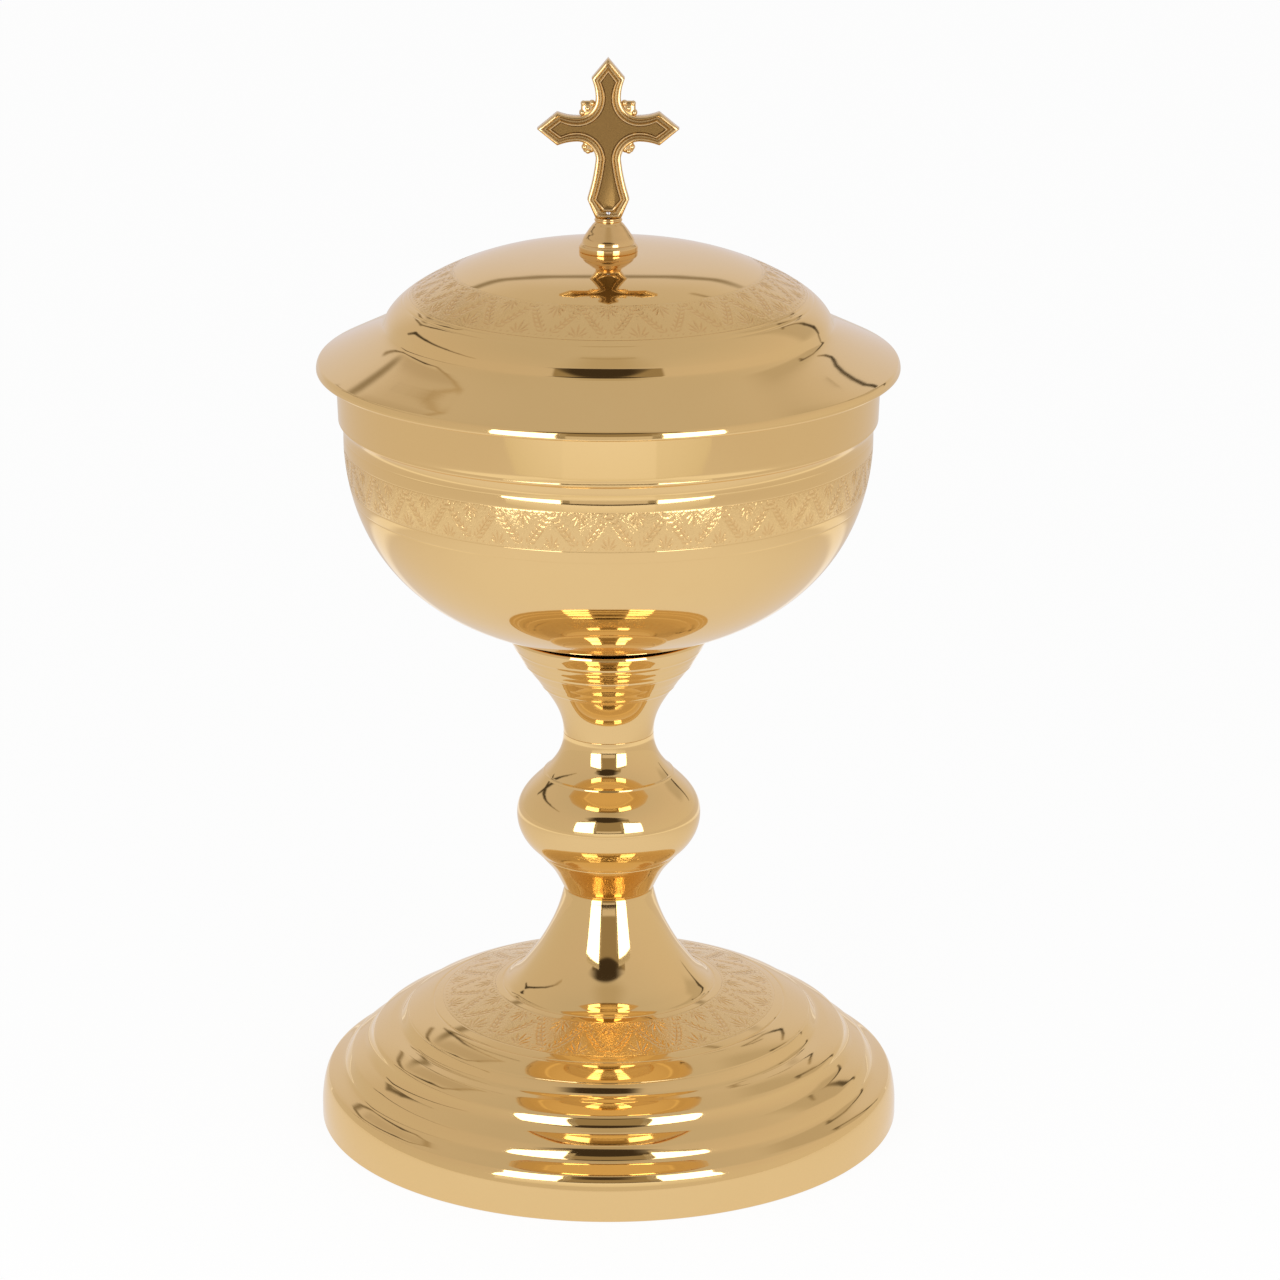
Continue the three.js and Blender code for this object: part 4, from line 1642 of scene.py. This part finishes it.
@dataclass(frozen=True)
class Fold:
    """A dark fold of the tent's cloth: a line through points of azimuth and elevation in degrees.

    Each knot holds azimuth, elevation, half-width and brightness. A direction's distance from a
    stretch is measured to its nearest point, at the share t along it, held between 0 and 1.
    """

    knots: tuple[tuple[float, float, float, float], ...]
    soft: float = 1.6
    squeeze: float = 0.82
    tint: Shade = (1.0, 0.82, 0.62)

    def paint(self, graph: Graph, azimuth: Value, elevation: Value, below: Value) -> Value:
        """Lays the fold over a colour.

        Args:
            graph: The node tree it is painted in.
            azimuth: The direction's azimuth in degrees.
            elevation: Its elevation in degrees.
            below: The colour under the fold.

        Returns:
            The colour with the fold.
        """
        place = graph.vector(azimuth * self.squeeze, elevation, 0.0)
        for first, second in zip(self.knots, self.knots[1:]):
            start = (first[0] * self.squeeze, first[1], 0.0)
            run = ((second[0] - first[0]) * self.squeeze, second[1] - first[1], 0.0)
            length = run[0] ** 2 + run[1] ** 2
            offset = graph.node(
                "ShaderNodeVectorMath", {"operation": "SUBTRACT"}, {0: place, 1: start}
            )
            share = graph.node(
                "ShaderNodeMath", {"operation": "MULTIPLY", "use_clamp": True},
                {
                    0: graph.node(
                        "ShaderNodeVectorMath", {"operation": "DOT_PRODUCT"},
                        {0: offset, 1: run}, "Value",
                    ),
                    1: 1 / length,
                },
            )
            nearest_point = graph.node(
                "ShaderNodeVectorMath", {"operation": "SCALE"}, {0: run, "Scale": share}
            )
            distance = graph.node(
                "ShaderNodeVectorMath", {"operation": "DISTANCE"},
                {0: offset, 1: nearest_point}, "Value",
            )
            beyond = distance - (share * (second[2] - first[2]) + first[2])
            shade = graph.blend(
                share,
                (*(first[3] * tone for tone in self.tint), 1.0),
                (*(second[3] * tone for tone in self.tint), 1.0),
            )
            below = graph.blend(graph.fade(beyond, 0.0, self.soft), below, shade)
        return below


@dataclass(frozen=True)
class SoftLamp:
    """A rectangular lamp in front of the object, facing it, in millimetres and watts."""

    name: str
    left: float
    right: float
    low: float
    high: float
    radiance: float
    front: float = 350.0

    def build(self) -> None:
        """Adds the lamp; its power is its radiance times pi times its area."""
        light = bpy.data.lights.new(self.name, "AREA")
        light.shape = "RECTANGLE"
        light.size = (self.right - self.left) * MM
        light.size_y = (self.high - self.low) * MM
        light.energy = self.radiance * math.pi * light.size * light.size_y
        lamp = bpy.data.objects.new(self.name, light)
        lamp.location = (
            (self.left + self.right) / 2 * MM, -self.front * MM, (self.low + self.high) / 2 * MM
        )
        lamp.rotation_euler = (math.radians(90), 0.0, 0.0)
        lamp.visible_camera = False
        bpy.context.scene.collection.objects.link(lamp)


def staged(
    name: str, corners: Sequence[tuple[float, float, float]], faces: Sequence[tuple[int, ...]]
) -> bpy.types.Object:
    """Adds a flat thing of the studio that is no part of the object."""
    mesh = bpy.data.meshes.new(name)
    mesh.from_pydata(corners, [], faces)
    made = bpy.data.objects.new(name, mesh)
    bpy.context.scene.collection.objects.link(made)
    return made


def blank_material(thing: bpy.types.Object, name: str) -> Graph:
    """Gives a thing a material with no nodes yet."""
    material = bpy.data.materials.new(name)
    material.use_nodes = True
    material.node_tree.nodes.clear()
    thing.data.materials.append(material)
    return Graph(material.node_tree)


def mirrored_only(thing: bpy.types.Object) -> None:
    """Hides a thing from everything but reflections."""
    thing.visible_camera = thing.visible_diffuse = thing.visible_shadow = False
    thing.visible_transmission = False


BEIGE = (0.70, 0.625, 0.585)
BEIGE_LOW = (0.72, 0.655, 0.605)
BEIGE_TOP = (0.63, 0.575, 0.54)
BROWN = (0.35, 0.28, 0.19)
UMBER = (0.055, 0.04, 0.028)
PALE = (1.02, 0.98, 1.0)
DULL = (0.80, 0.74, 0.66)


@dataclass
class Tent:
    """The photographer's tent: a pale shell that only mirrors see, with its seams and folds."""

    radius: float = 1.6
    middle: float = 0.1
    side_light: float = 0.03
    patches: tuple[Patch, ...] = (
        Patch(-180, 14, 34, 22, (0.76, 0.71, 0.74), soft=20.0),
        Patch(180, 14, 34, 22, (0.76, 0.71, 0.74), soft=20.0),
        Patch(0, 62, 24, 12, (0.54, 0.47, 0.39), soft=7.0, side_soft=36.0),
        Patch(0, 26, 30, 16, BROWN, soft=2.0),
        Patch(-4, 43.0, 26, 7.0, UMBER, soft=1.8, side_soft=22.0, taper=0.5),
        Patch(0, 71, 28, 1.0, (0.42, 0.35, 0.26), soft=2.4, share=0.5),
        Patch(-180, 33, 34, 1.3, (0.26, 0.21, 0.14), soft=2.2, side_soft=14.0, share=0.85),
        Patch(180, 33, 20, 1.3, (0.26, 0.21, 0.14), soft=2.2, side_soft=14.0, share=0.85),
        Patch(-143, 43, 4.5, 9, (0.50, 0.43, 0.37), soft=5.0, lean=-16.0, share=0.6),
        Patch(134, 36, 9, 18, (0.53, 0.47, 0.41), soft=9.0, lean=-14.0, share=0.7),
    )
    folds: tuple[Fold, ...] = (
        Fold((
            (-152, 27, 0.8, 0.34), (-145, 28.5, 0.8, 0.26), (-138.5, 31, 0.9, 0.22),
            (-136, 36.5, 1.0, 0.15), (-134.8, 42, 1.1, 0.09), (-132, 46, 0.7, 0.34),
            (-138, 49.5, 0.6, 0.44), (-146, 53.5, 0.5, 0.5),
        )),
        Fold((
            (-155, 30, 0.3, 0.3), (-154, 33, 0.45, 0.08), (-152.8, 36.5, 0.45, 0.09),
            (-150.7, 40, 0.35, 0.2), (-149.3, 44, 0.3, 0.4), (-147.8, 48.5, 0.3, 0.48),
            (-146, 53, 0.3, 0.52),
        ), soft=0.8),
        Fold((
            (-154, 34, 0.25, 0.3), (-153, 38, 0.25, 0.38), (-151.9, 42, 0.25, 0.4),
            (-151.5, 46, 0.25, 0.36), (-151.8, 50, 0.25, 0.34), (-152.3, 55, 0.25, 0.36),
        ), soft=0.6),
        Fold((
            (-131, 22, 0.9, 0.17), (-130, 27, 1.2, 0.07), (-119, 30.5, 1.0, 0.07),
            (-102, 35, 0.8, 0.17), (-92, 36.5, 0.7, 0.32), (-80, 37.5, 0.6, 0.5),
        )),
        Fold((
            (133.5, 9, 0.7, 0.3), (139.5, 19, 1.2, 0.08), (140, 26, 1.0, 0.12),
            (140.5, 32, 0.7, 0.36), (138.5, 38, 0.9, 0.18), (133, 37.5, 0.6, 0.36),
        )),
        Fold((
            (146, 32, 0.4, 0.46), (150, 29.6, 0.5, 0.2), (152.6, 28.6, 0.55, 0.08),
            (153.3, 31, 0.45, 0.08), (153.9, 34.5, 0.25, 0.33), (152.8, 38, 0.25, 0.33),
            (151.8, 42.5, 0.25, 0.28), (151.0, 40, 0.25, 0.3), (151.4, 36.5, 0.2, 0.32),
        ), soft=0.7),
        Fold(((156.5, 45.5, 0.6, 0.3), (163, 45.5, 0.6, 0.45))),
    )

    def build(self) -> None:
        """Adds the shell: (R cos e cos a, R cos e sin a, R sin e) over both angles."""
        rows, columns = 48, 96
        polar = np.linspace(-math.pi / 2, math.pi / 2, rows)[:, None]
        turn = np.arange(columns) * 2 * math.pi / columns
        points = np.stack(
            [
                self.radius * np.cos(polar) * np.cos(turn),
                self.radius * np.cos(polar) * np.sin(turn),
                self.radius * np.sin(polar) * np.ones(columns) + self.middle,
            ],
            -1,
        ).reshape(-1, 3)
        shell = staged("tent", points.tolist(), grid_faces(rows, columns, False).tolist())
        shell.data.polygons.foreach_set("use_smooth", np.ones(len(shell.data.polygons), bool))
        graph = blank_material(shell, "tent_cloth")
        x, y, z = graph.axes()
        azimuth = x.turn(y * -1.0) * (180 / math.pi)
        elevation = (z - self.middle).turn((x * x + y * y) ** 0.5) * (180 / math.pi)
        cloth = graph.node(
            "ShaderNodeValToRGB",
            {"stops": [(0.0, BEIGE_LOW), (0.35, BEIGE), (0.72, BEIGE_TOP)]},
            {0: elevation * (1 / 90)},
        )
        light = graph.node(
            "ShaderNodeVectorMath", {"operation": "SCALE"},
            {0: cloth, "Scale": x * self.side_light + 1.0},
        )
        for mark in (*self.patches, *self.folds):
            light = mark.paint(graph, azimuth, elevation, light)
        glow = graph.node("ShaderNodeEmission", {}, {"Color": light, "Strength": 1.0})
        graph.node("ShaderNodeOutputMaterial", {}, {"Surface": glow})
        mirrored_only(shell)


@dataclass
class Studio:
    """The floor, the tent, the lamps, the panels between them and the camera."""

    camera_distance: float = 1.1
    camera_height: float = 0.46376
    pitch: float = 17.3734
    yaw: float = 0.3647
    roll: float = -0.08
    lens: float = 136.124
    # Light painted on the floor for reflections only: a warm pool near the object, a brighter ring and
    # darker floor further off.
    floor_near: Colour = (0.87, 0.82, 0.82, 1.0)
    floor_ring: Colour = (1.0, 0.95, 0.92, 1.0)
    floor_far: Colour = (0.72, 0.645, 0.6, 1.0)
    tent: Tent = field(default_factory=Tent)
    lamps: tuple[SoftLamp, ...] = (
        SoftLamp("left_lamp", -325, -117, 101, 345, 3.6),
        SoftLamp("right_lamp", 121, 318, 101, 322, 3.6),
    )
    cards: tuple[Card, ...] = (
        Card("rail", -117, 121, 100, 108, UMBER, UMBER, 363.0),
        Card("sill", -325, 318, 95, 101, (0.2, 0.16, 0.11), (0.1, 0.08, 0.05), 364.0),
        Card("left_post", -117, -97, 108, 330, (0.36, 0.31, 0.25), (0.50, 0.43, 0.34), 365.0),
        Card("right_post", 99, 121, 108, 310, (0.36, 0.31, 0.25), (0.50, 0.43, 0.34), 365.0),
        Card("left_hood", -325, -117, 345, 400, (0.40, 0.34, 0.26), (0.62, 0.55, 0.47), 368.0),
        Card("right_hood", 121, 318, 322, 380, (0.40, 0.34, 0.26), (0.62, 0.55, 0.47), 368.0),
        Card("left_skirt", -325, -117, 40, 101, DULL, PALE, 365.0),
        Card("middle_skirt", -117, 121, 40, 101, (0.85, 0.79, 0.71), PALE, 365.0),
        Card("right_skirt", 121, 318, 40, 101, DULL, (0.95, 0.90, 0.88), 365.0),
    )

    def camera(self) -> None:
        """The camera at the photograph's viewpoint."""
        made = bpy.data.cameras.new("camera")
        made.lens, made.sensor_width = self.lens, 36.0
        made.clip_start, made.clip_end = 0.01, 20.0
        camera = bpy.data.objects.new("camera", made)
        camera.location = (0.0, -self.camera_distance, self.camera_height)
        camera.rotation_euler = (
            math.radians(90 - self.pitch), math.radians(self.roll), -math.radians(self.yaw),
        )
        bpy.context.scene.collection.objects.link(camera)
        bpy.context.scene.camera = camera

    def floor(self) -> None:
        """A pale floor whose white lets the object's shadow through; mirrors see painted light on it."""
        side = 6.0
        floor = staged(
            "floor", [(-side, -side, 0), (side, -side, 0), (side, side, 0), (-side, side, 0)],
            [(0, 1, 2, 3)],
        )
        graph = blank_material(floor, "pale_floor")
        path = graph.node("ShaderNodeLightPath", output="Is Camera Ray")
        gloss = Value(graph, path.socket.node.outputs["Is Glossy Ray"])
        # Painted light that the metal sees in the floor; the camera sees plain white.
        x, y, _ = graph.axes()
        away = (x * x + (y + 0.16) ** 2.0 + 1e-6) ** 0.5
        mirrored_light = graph.blend(graph.fade(away, 0.33, 0.5), self.floor_far, self.floor_near)
        across = (x * x + (y + 0.1) ** 2.0 + 1e-6) ** 0.5
        ring = graph.fade(across, 0.43, 0.04) * (1 - graph.fade(across, 0.35, 0.04))
        mirrored_light = graph.blend(ring, mirrored_light, self.floor_ring)
        pale = graph.node("ShaderNodeBsdfDiffuse", {}, {"Color": linear(250, 250, 249)})
        light = graph.blend(gloss, (1.0, 1.0, 1.0, 1.0), mirrored_light)
        white = graph.node("ShaderNodeEmission", {}, {"Color": light, "Strength": 1.0})
        mixed = graph.node(
            "ShaderNodeMixShader", {}, {0: path.most(gloss) * 0.92, 1: pale, 2: white}
        )
        graph.node("ShaderNodeOutputMaterial", {}, {"Surface": mixed})

    def world(self) -> None:
        """A white surround that lights at a plain level."""
        world = bpy.data.worlds.new("surround")
        world.use_nodes = True
        world.node_tree.nodes.clear()
        graph = Graph(world.node_tree)
        camera = graph.node("ShaderNodeLightPath", output="Is Camera Ray")
        rays = camera.socket.node.outputs
        seen = camera.most(Value(graph, rays["Is Glossy Ray"])).most(
            Value(graph, rays["Is Transmission Ray"])
        )
        strength = seen * 0.25 + 0.75
        glow = graph.node("ShaderNodeBackground", {}, {"Color": (1, 1, 1, 1), "Strength": strength})
        graph.node("ShaderNodeOutputWorld", {}, {"Surface": glow})
        bpy.context.scene.world = world

    def build(self) -> None:
        """Sets the studio up."""
        self.camera()
        self.floor()
        self.tent.build()
        self.world()
        for thing in (*self.lamps, *self.cards):
            thing.build()
        bpy.context.scene.view_settings.view_transform = "Standard"


def main() -> None:
    """Builds the object and its studio."""
    logging.basicConfig(level=logging.INFO, format="%(message)s")
    finishes = make_finishes()
    for part in (Foot(), Stem(), Cup(), Lid(), Finial()):
        part.build(finishes)
    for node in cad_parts.values():
        if not node.hide_render:
            node.data.materials.clear()
            node.data.materials.append(finishes.brass)
    Studio().build()


if __name__ == "__main__":
    main()
